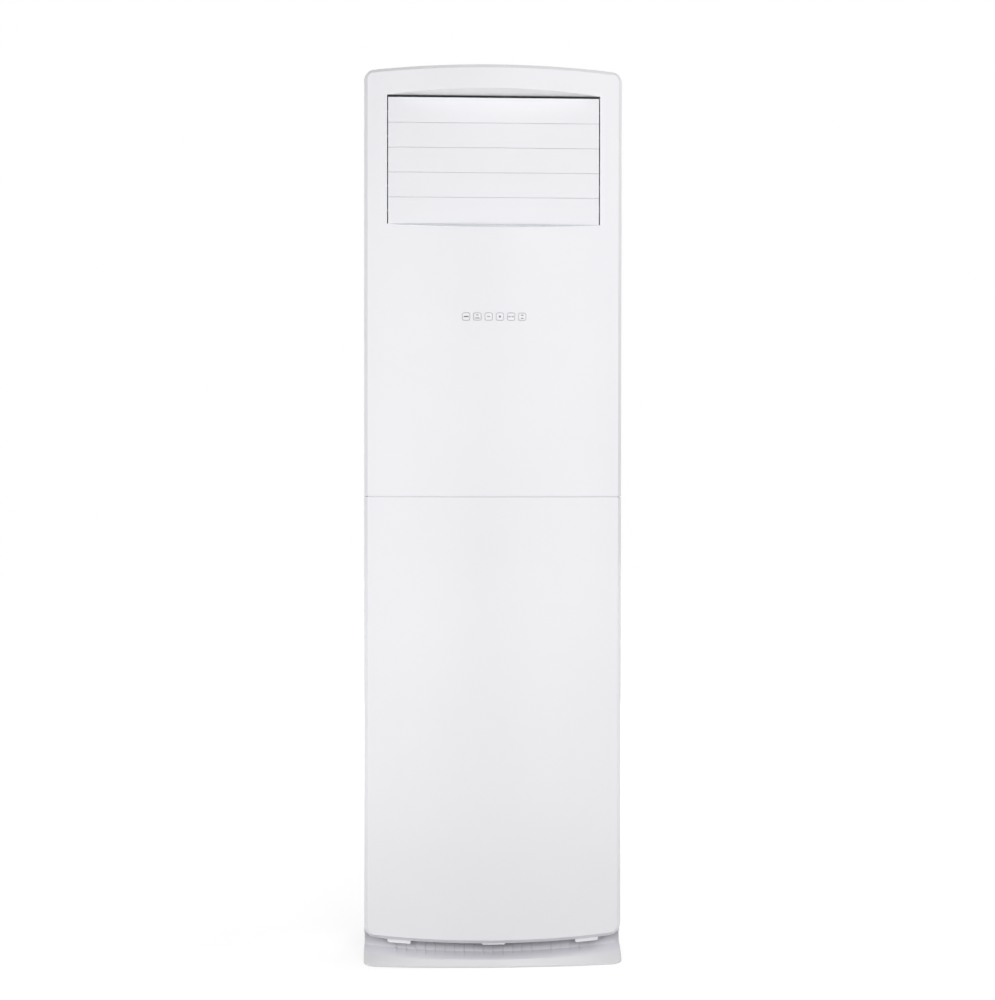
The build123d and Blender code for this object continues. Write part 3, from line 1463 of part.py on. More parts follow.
with BuildPart() as terminal_block:
    with Locations((terminal_x, box_back_y - box_wall, terminal_low_z)):
        Box(*terminal_size, align=against_the_back)
    with BuildSketch(Plane.XZ.offset(-terminal_front_y)):
        with Locations((terminal_x, terminal_z)):
            with GridLocations(terminal_pitch, 0, terminal_count, 1):
                Rectangle(terminal_pitch - terminal_rib, terminal_size[2] - 2 * terminal_rib)
    extrude(amount=-terminal_size[1] / 2, mode=Mode.SUBTRACT)
    with BuildSketch(Plane.XZ.offset(-terminal_front_y - terminal_size[1] / 2)):
        with Locations((terminal_x, terminal_z)):
            with GridLocations(terminal_pitch, 0, terminal_count, 1):
                Circle(terminal_screw_radius)
    extrude(amount=terminal_size[1] / 4)
finish(terminal_block, "terminal_block")
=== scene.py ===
import bpy
import bmesh
import json
from math import cos, pi, radians, sin, sqrt
from mathutils import Euler, Matrix, Vector

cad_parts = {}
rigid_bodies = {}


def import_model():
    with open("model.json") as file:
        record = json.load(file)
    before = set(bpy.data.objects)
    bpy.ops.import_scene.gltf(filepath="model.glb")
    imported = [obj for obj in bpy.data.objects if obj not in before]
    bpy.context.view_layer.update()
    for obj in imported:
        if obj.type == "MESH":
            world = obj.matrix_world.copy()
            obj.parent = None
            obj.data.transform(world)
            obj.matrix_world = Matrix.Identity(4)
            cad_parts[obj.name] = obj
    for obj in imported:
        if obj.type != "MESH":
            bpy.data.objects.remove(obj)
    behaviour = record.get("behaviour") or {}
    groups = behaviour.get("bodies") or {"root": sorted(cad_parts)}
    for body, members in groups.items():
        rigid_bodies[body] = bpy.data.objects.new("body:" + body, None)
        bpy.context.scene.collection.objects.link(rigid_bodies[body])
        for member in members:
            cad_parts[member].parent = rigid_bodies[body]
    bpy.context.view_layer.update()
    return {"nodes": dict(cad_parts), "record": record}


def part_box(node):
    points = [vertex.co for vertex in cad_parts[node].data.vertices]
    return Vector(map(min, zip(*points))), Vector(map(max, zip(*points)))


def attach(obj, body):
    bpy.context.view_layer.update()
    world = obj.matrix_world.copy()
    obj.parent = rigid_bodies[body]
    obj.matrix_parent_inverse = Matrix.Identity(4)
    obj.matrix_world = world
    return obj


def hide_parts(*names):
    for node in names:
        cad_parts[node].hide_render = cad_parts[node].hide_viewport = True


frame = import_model()
mm = 0.001
slotOf = {part["node"]: part["material_slot"] for part in frame["record"]["subparts"]}


# a shader socket that takes part in sums as a number does
class Wire:
    def __init__(self, shade, socket):
        self.shade = shade
        self.socket = socket

    def math(self, operation, first, second):
        return self.shade.node("Math", {"operation": operation}, {0: first, 1: second})

    def __add__(self, other):
        return self.math("ADD", self, other)

    def __sub__(self, other):
        return self.math("SUBTRACT", self, other)

    def __rsub__(self, other):
        return self.math("SUBTRACT", other, self)

    def __mul__(self, other):
        return self.math("MULTIPLY", self, other)

    def __truediv__(self, other):
        return self.math("DIVIDE", self, other)

    def __rtruediv__(self, other):
        return self.math("DIVIDE", other, self)

    def __lt__(self, other):
        return self.math("LESS_THAN", self, other)

    def __gt__(self, other):
        return self.math("GREATER_THAN", self, other)

    def __abs__(self):
        return self.math("ABSOLUTE", self, 0.0)

    def zigzag(self):
        return self.math("PINGPONG", self, 1.0)  # up from 0 to 1 and down again

    __radd__ = __add__
    __rmul__ = __mul__


class Shade:
    def __init__(self, name):
        self.material = bpy.data.materials.new(name)
        self.material.use_nodes = True
        self.tree = self.material.node_tree
        self.surface = self.tree.nodes["Principled BSDF"]
        self.place = self.node("TexCoord", {}, {}, "Object")

    def node(self, kind, settings, inputs, output=0):
        made = self.tree.nodes.new("ShaderNode" + kind)
        for key, value in settings.items():
            setattr(made, key, value)
        for key, value in inputs.items():
            self.feed(made.inputs[key], value)
        return Wire(self, made.outputs[output])

    def feed(self, socket, value):
        if isinstance(value, Wire):
            self.tree.links.new(value.socket, socket)
        elif socket.type == "RGBA" and len(value) == 3:
            socket.default_value = (*value, 1.0)
        else:
            socket.default_value = value

    def noise(self, scale, detail, roughness, place=None):
        inputs = {"Vector": place or self.place, "Scale": scale, "Detail": detail, "Roughness": roughness}
        return self.node("TexNoise", {}, inputs)

    def stretched(self, x, y, z):
        return self.node("Mapping", {}, {"Vector": self.place, "Scale": (x, y, z)})

    def axis(self, name):
        return self.node("SeparateXYZ", {}, {"Vector": self.place}, name)

    def between(self, factor, low, high):
        return self.node("MapRange", {}, {"Value": factor, "To Min": low, "To Max": high})

    def mix(self, factor, first, second):
        # sockets 0, 6 and 7 and output 2 are the ones that a colour Mix node shows
        return self.node("Mix", {"data_type": "RGBA"}, {0: factor, 6: first, 7: second}, 2)

    def bump(self, height, relief):
        return self.node("Bump", {}, {"Height": height, "Distance": relief})

    def done(self, **inputs):
        for key, value in inputs.items():
            self.feed(self.surface.inputs[key.replace("_", " ")], value)
        return self.material


# the bow of the front, which the mouldings, the keys and the seam follow
frontLow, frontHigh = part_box("front_panel_upper")
front = {
    "y": frontLow[1],
    "half": frontHigh[0],
    "bow": 54 * mm,
    "rim": 8 * mm,
    "skin": 9 * mm,  # faces of the bow lie no further behind its line
    "facing": -0.3,  # a face of the bow has a normal whose y is below this
    "sliceStep": 5.5 * mm,
    "facetSag": 0.14 * mm,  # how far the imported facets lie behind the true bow
}
front["radius"] = (front["half"] ** 2 + front["bow"] ** 2) / (2 * front["bow"])

# the sloped sides of the outlet recess, with the heights between which each lies; the sill's painted shade
# and the soffit's painted light go there
recess = {"from": 1.0 * mm, "half": 214 * mm, "sill": (1.428, 1.4464), "soffit": (1.6965, 1.716)}


def bowY(x):
    return front["y"] + front["radius"] - sqrt(front["radius"] ** 2 - x**2)


def recessMask(shade, heights):
    # 1 on the recess between two heights, behind the bow's circle to its fourth power
    low, high = heights
    x, y, z = (shade.axis(name) for name in "XYZ")
    square = x * x
    bowed = square / (2 * front["radius"]) + square * square / (8 * front["radius"] ** 3)
    behind = y - (front["y"] + recess["from"]) - bowed
    return (abs(x) < recess["half"]) * (behind > 0.0) * (z > low) * (z < high)


# finishes, one function for each kind
plasticLook = {
    "white": (0.868, 0.868, 0.892),
    "shadow": (0.845, 0.845, 0.872),
    "gloss": (0.20, 0.27),
    "coat": 0.35,
    "coatGloss": 0.12,
    "index": 1.52,
    "peel": 0.01 * mm,
}
keyLook = {**plasticLook, "gloss": (0.3, 0.38), "coat": 0.0}
# painted shade on the sill, darker than the front, and painted light on the soffit, lighter than the front
recessPaintedShading = {"sill": (0.75, 0.76, 0.81), "soffit": (0.95, 0.95, 0.96)}


def mouldedWhite(name, look, paintedShading):
    shade = Shade(name)
    clouds = shade.noise(scale=3.2, detail=3.0, roughness=0.55)
    flow = shade.noise(scale=1.6, detail=2.0, roughness=0.5, place=shade.stretched(1.0, 1.0, 5.0))
    tone = shade.mix(shade.between(clouds, -0.2, 1.2), look["shadow"], look["white"])
    # paint the sill's shade and the soffit's light onto the outlet recess
    for part, colour in paintedShading.items():
        tone = shade.mix(recessMask(shade, recess[part]), tone, colour)
    handled = shade.noise(scale=38.0, detail=4.0, roughness=0.6)
    gloss = shade.between(clouds * 0.5 + handled * 0.3 + flow * 0.2, *look["gloss"])
    peel = shade.noise(scale=260.0, detail=2.0, roughness=0.45)
    grain = shade.noise(scale=1900.0, detail=1.0, roughness=0.5)
    return shade.done(
        Base_Color=tone,
        Roughness=gloss,
        Normal=shade.bump(peel + grain * 0.25, look["peel"]),
        Coat_Weight=look["coat"],
        Coat_Roughness=look["coatGloss"],
        IOR=look["index"],
    )


def basePlastic(name):
    # the cove, between two heights and in front of one depth, is painted with a shadow: its colour darkens
    # upwards and to its middle, standing in for the shade under the front panel
    look = {
        "low": 14 * mm, "high": 41 * mm, "over": 1 * mm, "front": -55 * mm, "ends": 1.6, "peel": 0.01 * mm,
        # lip is the painted shadow's lightest colour and deep its darkest
        "lip": (0.80, 0.795, 0.84), "deep": (0.21, 0.21, 0.235), "plain": (0.76, 0.755, 0.765),
    }
    shade = Shade(name)
    z = shade.axis("Z")
    climb = (z - look["low"]) / (look["high"] - look["low"])
    inCove = (z > look["low"]) * (z < look["high"] + look["over"]) * (shade.axis("Y") < look["front"])
    spread = 1.0 - abs(shade.axis("X")) * look["ends"]
    clouds = shade.noise(scale=6.0, detail=3.0, roughness=0.5)
    plain = shade.mix(clouds * 0.3, look["plain"], plasticLook["shadow"])
    # painted shadow in the cove, from the lip's colour to the deep one
    paintedCoveShadow = shade.mix(shade.between(climb * spread + clouds * 0.1, 0.0, 1.0), look["lip"], look["deep"])
    return shade.done(
        Base_Color=shade.mix(inCove, plain, paintedCoveShadow),
        Roughness=shade.between(clouds, 0.30, 0.42),
        Normal=shade.bump(shade.noise(scale=700.0, detail=2.0, roughness=0.5), look["peel"]),
    )


def powderSteel(name):
    # dusty near the floor, up to one eighth of a metre
    look = {"white": (0.852, 0.854, 0.872), "dust": (0.80, 0.80, 0.812), "perMetre": 8.0, "peel": 0.04 * mm}
    shade = Shade(name)
    peel = shade.noise(scale=520.0, detail=2.0, roughness=0.5)
    clouds = shade.noise(scale=4.0, detail=3.0, roughness=0.6)
    low = shade.between(shade.axis("Z") * look["perMetre"], 0.75, 1.0)
    tone = shade.mix(low * shade.between(clouds, 0.7, 1.1), look["dust"], look["white"])
    return shade.done(
        Base_Color=tone,
        Roughness=shade.between(clouds + peel * 0.3, 0.34, 0.46),
        Normal=shade.bump(peel, look["peel"]),
    )


def grainedPlastic(name, colour, dark, rough, grain=1500.0):
    look = {"relief": 0.03 * mm, "smoother": 0.06, "rougher": 0.08}
    shade = Shade(name)
    spark = shade.noise(scale=grain, detail=3.0, roughness=0.65)
    clouds = shade.noise(scale=9.0, detail=3.0, roughness=0.5)
    tone = shade.mix(shade.between(clouds * 0.6 + spark * 0.4, 0.0, 1.2), dark, colour)
    return shade.done(
        Base_Color=tone,
        Roughness=shade.between(spark, rough - look["smoother"], rough + look["rougher"]),
        Normal=shade.bump(spark, look["relief"]),
    )


def zincSteel(name):
    look = {"spangle": 90.0, "dark": (0.55, 0.57, 0.60), "light": (0.70, 0.72, 0.74), "relief": 0.02 * mm}
    shade = Shade(name)
    spangle = shade.node("TexVoronoi", {}, {"Vector": shade.place, "Scale": look["spangle"]}, "Color")
    level = shade.node("SeparateColor", {}, {"Color": spangle}, "Red")
    fine = shade.noise(scale=400.0, detail=3.0, roughness=0.6)
    return shade.done(
        Base_Color=shade.mix(level, look["dark"], look["light"]),
        Metallic=1.0,
        Roughness=shade.between(level * 0.7 + fine * 0.3, 0.28, 0.52),
        Normal=shade.bump(fine + level * 0.4, look["relief"]),
    )


def brushedMetal(name, colour, dark, rough, along=(1.0, 1.0, 40.0)):
    look = {"relief": 0.02 * mm, "smoother": 0.08, "rougher": 0.1}
    shade = Shade(name)
    lines = shade.noise(scale=60.0, detail=4.0, roughness=0.6, place=shade.stretched(*along))
    stain = shade.noise(scale=26.0, detail=4.0, roughness=0.6)
    wear = lines * 0.6 + stain * 0.4
    return shade.done(
        Base_Color=shade.mix(shade.between(stain, -0.3, 1.2), dark, colour),
        Metallic=1.0,
        Roughness=shade.between(wear, rough - look["smoother"], rough + look["rougher"]),
        Normal=shade.bump(lines, look["relief"]),
    )


def foam(name, colour, dark, cell):
    look = {"feature": "SMOOTH_F1", "relief": 0.3 * mm, "lumps": 0.2}
    shade = Shade(name)
    cells = shade.node("TexVoronoi", {"feature": look["feature"]}, {"Vector": shade.place, "Scale": cell})
    lumps = shade.noise(scale=cell * look["lumps"], detail=4.0, roughness=0.7)
    tone = shade.mix(shade.between(cells * 0.8 + lumps * 0.6, 0.0, 1.0), colour, dark)
    return shade.done(
        Base_Color=tone,
        Roughness=shade.between(lumps, 0.75, 0.95),
        Normal=shade.bump(lumps - cells * 0.8, look["relief"]),
    )


def wovenNet(name):
    look = {
        "pitch": 1.6 * mm, "threadFrom": 0.62, "relief": 0.2 * mm,
        # the holes are painted near black: painted shade, standing in for the dark seen through the mesh
        "thread": (0.085, 0.095, 0.12), "hole": (0.012, 0.013, 0.016),
    }
    shade = Shade(name)
    across = (shade.axis("Y") / look["pitch"]).zigzag()
    down = (shade.axis("Z") / look["pitch"]).zigzag()
    thread = (across > look["threadFrom"]) * 0.5 + (down > look["threadFrom"]) * 0.5
    dust = shade.noise(scale=30.0, detail=4.0, roughness=0.6)
    return shade.done(
        Base_Color=shade.mix(thread * shade.between(dust, 0.7, 1.2), look["hole"], look["thread"]),
        Roughness=shade.between(dust, 0.55, 0.8),
        Normal=shade.bump(across + down, look["relief"]),
    )


def finBlock(name):
    # the gaps between the fins are painted dark: painted shade between the fins
    look = {"pitch": 0.9 * mm, "gap": (0.16, 0.17, 0.18), "fin": (0.72, 0.74, 0.76), "relief": 0.3 * mm}
    shade = Shade(name)
    fins = (shade.axis("X") / look["pitch"]).zigzag()
    wave = shade.noise(scale=14.0, detail=3.0, roughness=0.5)
    return shade.done(
        Base_Color=shade.mix(fins * shade.between(wave, 0.8, 1.1), look["gap"], look["fin"]),
        Metallic=1.0,
        Roughness=shade.between(wave, 0.3, 0.5),
        Normal=shade.bump(fins, look["relief"]),
    )


def ribbedHose(name):
    look = {"pitch": 3.5 * mm, "dark": (0.30, 0.31, 0.32), "light": (0.46, 0.47, 0.48), "relief": 0.8 * mm}
    shade = Shade(name)
    rings = (shade.axis("Z") / look["pitch"]).zigzag()
    dust = shade.noise(scale=40.0, detail=4.0, roughness=0.6)
    return shade.done(
        Base_Color=shade.mix(shade.between(dust, 0.2, 1.0), look["dark"], look["light"]),
        Roughness=shade.between(dust, 0.45, 0.7),
        Normal=shade.bump(rings, look["relief"]),
    )


def circuitBoard(name):
    look = {
        "across": 2.1 * mm, "down": 3.4 * mm, "relief": 0.1 * mm,
        "board": (0.010, 0.085, 0.034), "track": (0.035, 0.19, 0.075),
    }
    shade = Shade(name)
    across = (shade.axis("X") / look["across"]).zigzag()
    down = (shade.axis("Z") / look["down"]).zigzag()
    blocks = shade.noise(scale=120.0, detail=1.0, roughness=0.3)
    track = (across > 0.7) * (blocks > 0.5) + (down > 0.75) * (blocks < 0.5)
    return shade.done(
        Base_Color=shade.mix(track, look["board"], look["track"]),
        Roughness=shade.between(blocks, 0.3, 0.5),
        Normal=shade.bump(track, look["relief"]),
    )


finishes = {
    "white_moulding": mouldedWhite("glossWhite", plasticLook, recessPaintedShading),
    "key_plastic": mouldedWhite("keyWhite", keyLook, {}),
    "base_plastic": basePlastic("baseWhite"),
    "white_steel": powderSteel("powderWhite"),
    "zinc_steel": zincSteel("zincSheet"),
    "grey_plastic": grainedPlastic("greyPlastic", (0.60, 0.61, 0.625), (0.52, 0.53, 0.545), 0.42),
    "filter_mesh": wovenNet("filterNet"),
    "scroll_plastic": grainedPlastic("scrollPlastic", (0.64, 0.64, 0.625), (0.56, 0.56, 0.545), 0.5),
    "wheel_plastic": grainedPlastic("wheelPlastic", (0.12, 0.125, 0.135), (0.08, 0.085, 0.095), 0.4),
    "shaft_steel": brushedMetal("turnedSteel", (0.62, 0.62, 0.63), (0.42, 0.42, 0.43), 0.25),
    "motor_paint": grainedPlastic("motorPaint", (0.05, 0.052, 0.056), (0.03, 0.031, 0.034), 0.32, 700.0),
    "motor_steel": brushedMetal("motorSteel", (0.58, 0.59, 0.60), (0.40, 0.41, 0.42), 0.35),
    "fin_aluminium": finBlock("finStack"),
    "copper": brushedMetal("copperTube", (0.80, 0.38, 0.23), (0.45, 0.20, 0.12), 0.3),
    "foam_tray": foam("whiteFoam", (0.80, 0.80, 0.79), (0.62, 0.62, 0.61), 260.0),
    "foam_liner": foam("beadFoam", (0.78, 0.78, 0.76), (0.64, 0.64, 0.62), 420.0),
    "grey_hose": ribbedHose("greyHose"),
    "dark_rubber": grainedPlastic("darkRubber", (0.035, 0.035, 0.037), (0.02, 0.02, 0.022), 0.7, 900.0),
    "black_nylon": grainedPlastic("blackNylon", (0.03, 0.03, 0.032), (0.018, 0.018, 0.02), 0.45),
    "screw_steel": brushedMetal("screwSteel", (0.66, 0.66, 0.67), (0.45, 0.45, 0.46), 0.3, (1, 1, 1)),
    "circuit_board": circuitBoard("greenBoard"),
    "terminal_plastic": grainedPlastic("terminalPlastic", (0.72, 0.70, 0.64), (0.6, 0.58, 0.52), 0.5),
    # the last three are the scene's own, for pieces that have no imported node
    "mark": grainedPlastic("markGrey", (0.24, 0.245, 0.26), (0.21, 0.215, 0.23), 0.5),
    "faint": grainedPlastic("faintGrey", (0.47, 0.475, 0.49), (0.43, 0.435, 0.45), 0.5),
    "thread": grainedPlastic("threadGrey", (0.13, 0.14, 0.165), (0.09, 0.10, 0.12), 0.55, 900.0),
}
print("finishes made:", len(finishes))


def linked(name, data):
    thing = bpy.data.objects.new(name, data)
    bpy.context.scene.collection.objects.link(thing)
    return thing


def meshOf(name, bm):
    mesh = bpy.data.meshes.new(name)
    bm.to_mesh(mesh)
    bm.free()
    return mesh


def ownPiece(name, mesh, body, finish):
    piece = linked(name, mesh)
    mesh.materials.clear()
    mesh.materials.append(finishes[finish])
    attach(piece, body)
    return piece


def addPiece(name, mesh, body, slot, stoodFor=()):
    piece = ownPiece(name, mesh, body, slot)
    if stoodFor:
        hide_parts(*stoodFor)
    return piece


def onBow(face):
    centre = face.calc_center_median()
    line = bowY(min(abs(centre.x), front["half"]))
    return face.normal.y < front["facing"] and centre.y < line + front["skin"]


def sliceBow(bm):
    steps = int(2 * front["half"] / front["sliceStep"])
    for step in range(1, steps):
        x = -front["half"] + step * 2 * front["half"] / steps
        faces = [f for f in bm.faces if onBow(f)]
        edges = {e for f in faces for e in f.edges}
        verts = {v for f in faces for v in f.verts}
        geom = [*faces, *edges, *verts]
        bmesh.ops.bisect_plane(bm, geom=geom, dist=1e-6, plane_co=(x, 0, 0), plane_no=(1, 0, 0))
    for v in bm.verts:
        if abs(v.co.x) < front["half"]:
            for behind in (0.0, front["rim"]):
                line = bowY(v.co.x) + behind
                if abs(v.co.y - line) < front["facetSag"]:
                    v.co.y = line


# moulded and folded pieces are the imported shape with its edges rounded
dressing = {"weld": 0.002 * mm, "weldAfter": 0.001 * mm, "flat": 0.3, "sharp": 30, "creased": 40, "rounds": 2}


def dress(node, edge):
    mesh = frame["nodes"][node].data.copy()
    mesh.name = node + "_finished"
    bm = bmesh.new()
    bm.from_mesh(mesh)
    bmesh.ops.remove_doubles(bm, verts=bm.verts, dist=dressing["weld"])
    bmesh.ops.dissolve_limit(bm, angle_limit=radians(dressing["flat"]), verts=bm.verts, edges=bm.edges)
    if node.startswith("front_panel"):
        sliceBow(bm)
    bm.normal_update()
    sharp = radians(dressing["sharp"])
    corners = [e for e in bm.edges if len(e.link_faces) == 2 and e.calc_face_angle(0) > sharp]
    bmesh.ops.bevel(
        bm, geom=corners, offset=edge, offset_type="OFFSET", segments=dressing["rounds"], profile=0.5,
        affect="EDGES", clamp_overlap=False, miter_outer="SHARP",
    )
    bmesh.ops.remove_doubles(bm, verts=bm.verts, dist=dressing["weldAfter"])
    for f in bm.faces:
        f.smooth = True
    bm.to_mesh(mesh)
    bm.free()
    mesh.set_sharp_from_angle(angle=radians(dressing["creased"]))
    body = frame["nodes"][node].parent.name.replace("body:", "")
    piece = addPiece(node + "_finish", mesh, body, slotOf[node], (node,))
    weight = piece.modifiers.new("evenShading", "WEIGHTED_NORMAL")
    weight.keep_sharp = True


roundings = {
    "front_panel_upper": 0.55 * mm,
    "front_panel_lower": 0.55 * mm,
    "base_plinth": 0.4 * mm,
    "top_cover": 0.7 * mm,
    "left_side_panel": 0.25 * mm,
    "right_side_panel": 0.25 * mm,
    "rear_panel": 0.25 * mm,
    "wall_bracket": 0.35 * mm,
    "pipe_grommet": 0.5 * mm,
    "cable_gland": 0.5 * mm,
    "left_intake_grille": 0.5 * mm,
    "right_intake_grille": 0.5 * mm,
    **{f"slat_{number}": 0.12 * mm for number in range(1, 6)},
    **{f"key_{number}": 0.15 * mm for number in range(1, 7)},
}
for node, edge in roundings.items():
    dress(node, edge)
    print("dressed", node)

# a tongue behind the seam, moulded on the upper front
seam = {
    "short": 9 * mm, "reach": 1.1 * mm, "deep": 1.7 * mm, "thick": 3.0 * mm, "rooted": 2.0 * mm, "steps": 60,
}


def tongueMesh():
    bm = bmesh.new()
    rows = []
    low, high = frontLow[2] - seam["reach"], frontLow[2] + seam["rooted"]
    for step in range(seam["steps"] + 1):
        x = (step / seam["steps"] * 2 - 1) * (front["half"] - seam["short"])
        near = bowY(x) + seam["deep"]
        far = near + seam["thick"]
        section = ((near, low), (far, low), (far, high), (near, high))
        rows.append([bm.verts.new((x, y, z)) for y, z in section])
    for first, second in zip(rows, rows[1:]):
        for corner in range(4):
            after = (corner + 1) % 4
            bm.faces.new((first[corner], first[after], second[after], second[corner]))
    bm.faces.new(rows[0])
    bm.faces.new(reversed(rows[-1]))
    bmesh.ops.recalc_face_normals(bm, faces=bm.faces)
    return meshOf("seam_tongue", bm)


addPiece("seam_tongue", tongueMesh(), "root", "white_moulding")
print("seam tongue made")

# outlines and plain marks printed on the keys: the sheet's thickness is in metres, the rest in mm
printing = {
    "thick": 0.10 * mm, "proud": 0.04 * mm,
    "flange": 3.6,  # how much taller a key's box is than its face
    "inset": 0.1, "outline": 0.75, "corner": 3.4, "markCorner": 0.6, "cornerSteps": 6,
}
keyMarks = {  # finish, place across and up from the key's middle, width and height
    1: [("mark", 0, 0, 9.4, 2.8)],
    2: [("mark", 0, 3.0, 4.8, 1.7), ("mark", 0, -2.9, 8.6, 2.0)],
    3: [("faint", 0, 0, 6.4, 2.6)],
    4: [("mark", 0, 0, 3.9, 3.9)],
    5: [("faint", -3.2, 0, 5.0, 2.9), ("faint", 3.2, 0, 5.0, 2.9)],
    6: [("mark", 0, 3.0, 5.2, 1.9), ("mark", 0, -2.9, 5.2, 1.9)],
}


def roundedLoop(wide, tall, radius):
    radius = min(radius, wide / 2, tall / 2)
    loop = []
    for corner in range(4):
        cx = (wide / 2 - radius) * (1 if corner in (0, 3) else -1)
        cz = (tall / 2 - radius) * (1 if corner in (0, 1) else -1)
        for step in range(printing["cornerSteps"]):
            angle = pi / 2 * (corner + step / (printing["cornerSteps"] - 1))
            loop.append((cx + radius * cos(angle), cz + radius * sin(angle)))
    return loop


def printedSheet(name, body, finish, centre, outer, inner=None):
    bm = bmesh.new()
    layers = []
    for behind in (-printing["proud"], printing["thick"] - printing["proud"]):
        rings = []
        for loop in (outer, inner) if inner else (outer,):
            ring = []
            for x, z in loop:
                at = centre[0] + x * mm
                ring.append(bm.verts.new((at, bowY(at) + behind, centre[1] + z * mm)))
            rings.append(ring)
        layers.append(rings)
    for index in range(len(outer)):
        after = (index + 1) % len(outer)
        for near, far in zip(*layers):
            bm.faces.new((near[index], near[after], far[after], far[index]))
        if inner:
            for rings in layers:
                bm.faces.new((rings[0][index], rings[0][after], rings[1][after], rings[1][index]))
    if not inner:
        for rings in layers:
            bm.faces.new(rings[0])
    bmesh.ops.recalc_face_normals(bm, faces=bm.faces)
    ownPiece(name, meshOf(name, bm), body, finish)


keyLow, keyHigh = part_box("key_1")
rim = (keyHigh[2] - keyLow[2]) / mm - printing["flange"] - 2 * printing["inset"]
hole = rim - 2 * printing["outline"]
for number, shapes in keyMarks.items():
    key = f"key_{number}"
    low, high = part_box(key)
    centre = ((low[0] + high[0]) / 2, (low[2] + high[2]) / 2)
    outer = roundedLoop(rim, rim, printing["corner"])
    inner = roundedLoop(hole, hole, printing["corner"] - printing["outline"])
    printedSheet(key + "_outline", key, "faint", centre, outer, inner)
    for place, (finish, sideways, lift, wide, tall) in enumerate(shapes, 1):
        at = (centre[0] + sideways * mm, centre[1] + lift * mm)
        printedSheet(f"{key}_mark_{place}", key, finish, at, roundedLoop(wide, tall, printing["markCorner"]))
print("key outlines and marks made")


# Geometry Nodes: one piece repeated on the points of a mesh, each turned about Y by up to Turn
def repeater(name):
    group = bpy.data.node_groups.new(name, "GeometryNodeTree")
    sockets = {
        "Geometry": "NodeSocketGeometry", "Piece": "NodeSocketObject", "Turn": "NodeSocketFloat",
        "Seed": "NodeSocketInt", "Finish": "NodeSocketMaterial",
    }
    for label, kind in sockets.items():
        group.interface.new_socket(label, in_out="INPUT", socket_type=kind)
    group.interface.new_socket("Geometry", in_out="OUTPUT", socket_type="NodeSocketGeometry")
    kinds = {
        "start": "NodeGroupInput",
        "piece": "GeometryNodeObjectInfo",
        "random": "FunctionNodeRandomValue",
        "angles": "ShaderNodeCombineXYZ",
        "place": "GeometryNodeInstanceOnPoints",
        "real": "GeometryNodeRealizeInstances",
        "paint": "GeometryNodeSetMaterial",
        "end": "NodeGroupOutput",
    }
    made = {label: group.nodes.new(kind) for label, kind in kinds.items()}
    wires = (
        ("start", "Geometry", "place", "Points"),
        ("start", "Piece", "piece", "Object"),
        ("start", "Turn", "random", 3),  # the random number's largest value
        ("start", "Seed", "random", "Seed"),
        ("random", 1, "angles", "Y"),  # the random number, not the vector
        ("angles", 0, "place", "Rotation"),
        ("piece", "Geometry", "place", "Instance"),
        ("place", "Instances", "real", "Geometry"),
        ("real", "Geometry", "paint", "Geometry"),
        ("start", "Finish", "paint", "Material"),
        ("paint", "Geometry", "end", "Geometry"),
    )
    for first, output, second, entry in wires:
        group.links.new(made[first].outputs[output], made[second].inputs[entry])
    return group


repeatGroup = repeater("repeatOnPoints")


def repeated(name, points, pieceMesh, turn, seed, finish):
    carrier = bpy.data.meshes.new(name + "_points")
    carrier.from_pydata(points, [], [])
    holder = linked(name + "_points", carrier)
    single = linked(name + "_single", pieceMesh)
    modifier = holder.modifiers.new("repeat", "NODES")
    modifier.node_group = repeatGroup
    values = {"Piece": single, "Turn": turn, "Seed": seed, "Finish": finishes[finish]}
    for socket in repeatGroup.interface.items_tree:
        if socket.in_out == "INPUT" and socket.name in values:
            modifier[socket.identifier] = values[socket.name]
    holder.update_tag()
    bpy.context.view_layer.update()
    shown = holder.evaluated_get(bpy.context.evaluated_depsgraph_get())
    mesh = bpy.data.meshes.new_from_object(shown)
    mesh.name = name
    for thing in (holder, single):
        bpy.data.objects.remove(thing)
    return mesh


# rear screws with a cross recess, in mm; the profile is the radius and height of each ring
screw = {
    "sides": 24, "head": 4.2, "length": 7.0, "rows": 11, "smooth": 32,
    "profile": ((1.2, -7.0), (2.0, -6.2), (2.0, 0.0), (4.2, 0.0), (4.2, 0.7), (3.8, 1.25), (3.0, 1.5)),
    "arm": 1.9, "slot": 0.42, "deep": 0.9, "taper": 0.75, "turn": 2 * pi, "seed": 7,
}


def crossLoop(bm, scale, y):
    arm, slot = screw["arm"] * scale, screw["slot"] * scale
    loop = []
    for turn in range(4):
        for x, z in ((arm, slot), (slot, slot), (slot, arm)):
            for _ in range(turn):
                x, z = -z, x
            loop.append(bm.verts.new((x * mm, y * mm, z * mm)))
    return loop


def loopEdges(bm, loop):
    return [bm.edges.new((loop[i], loop[(i + 1) % len(loop)])) for i in range(len(loop))]


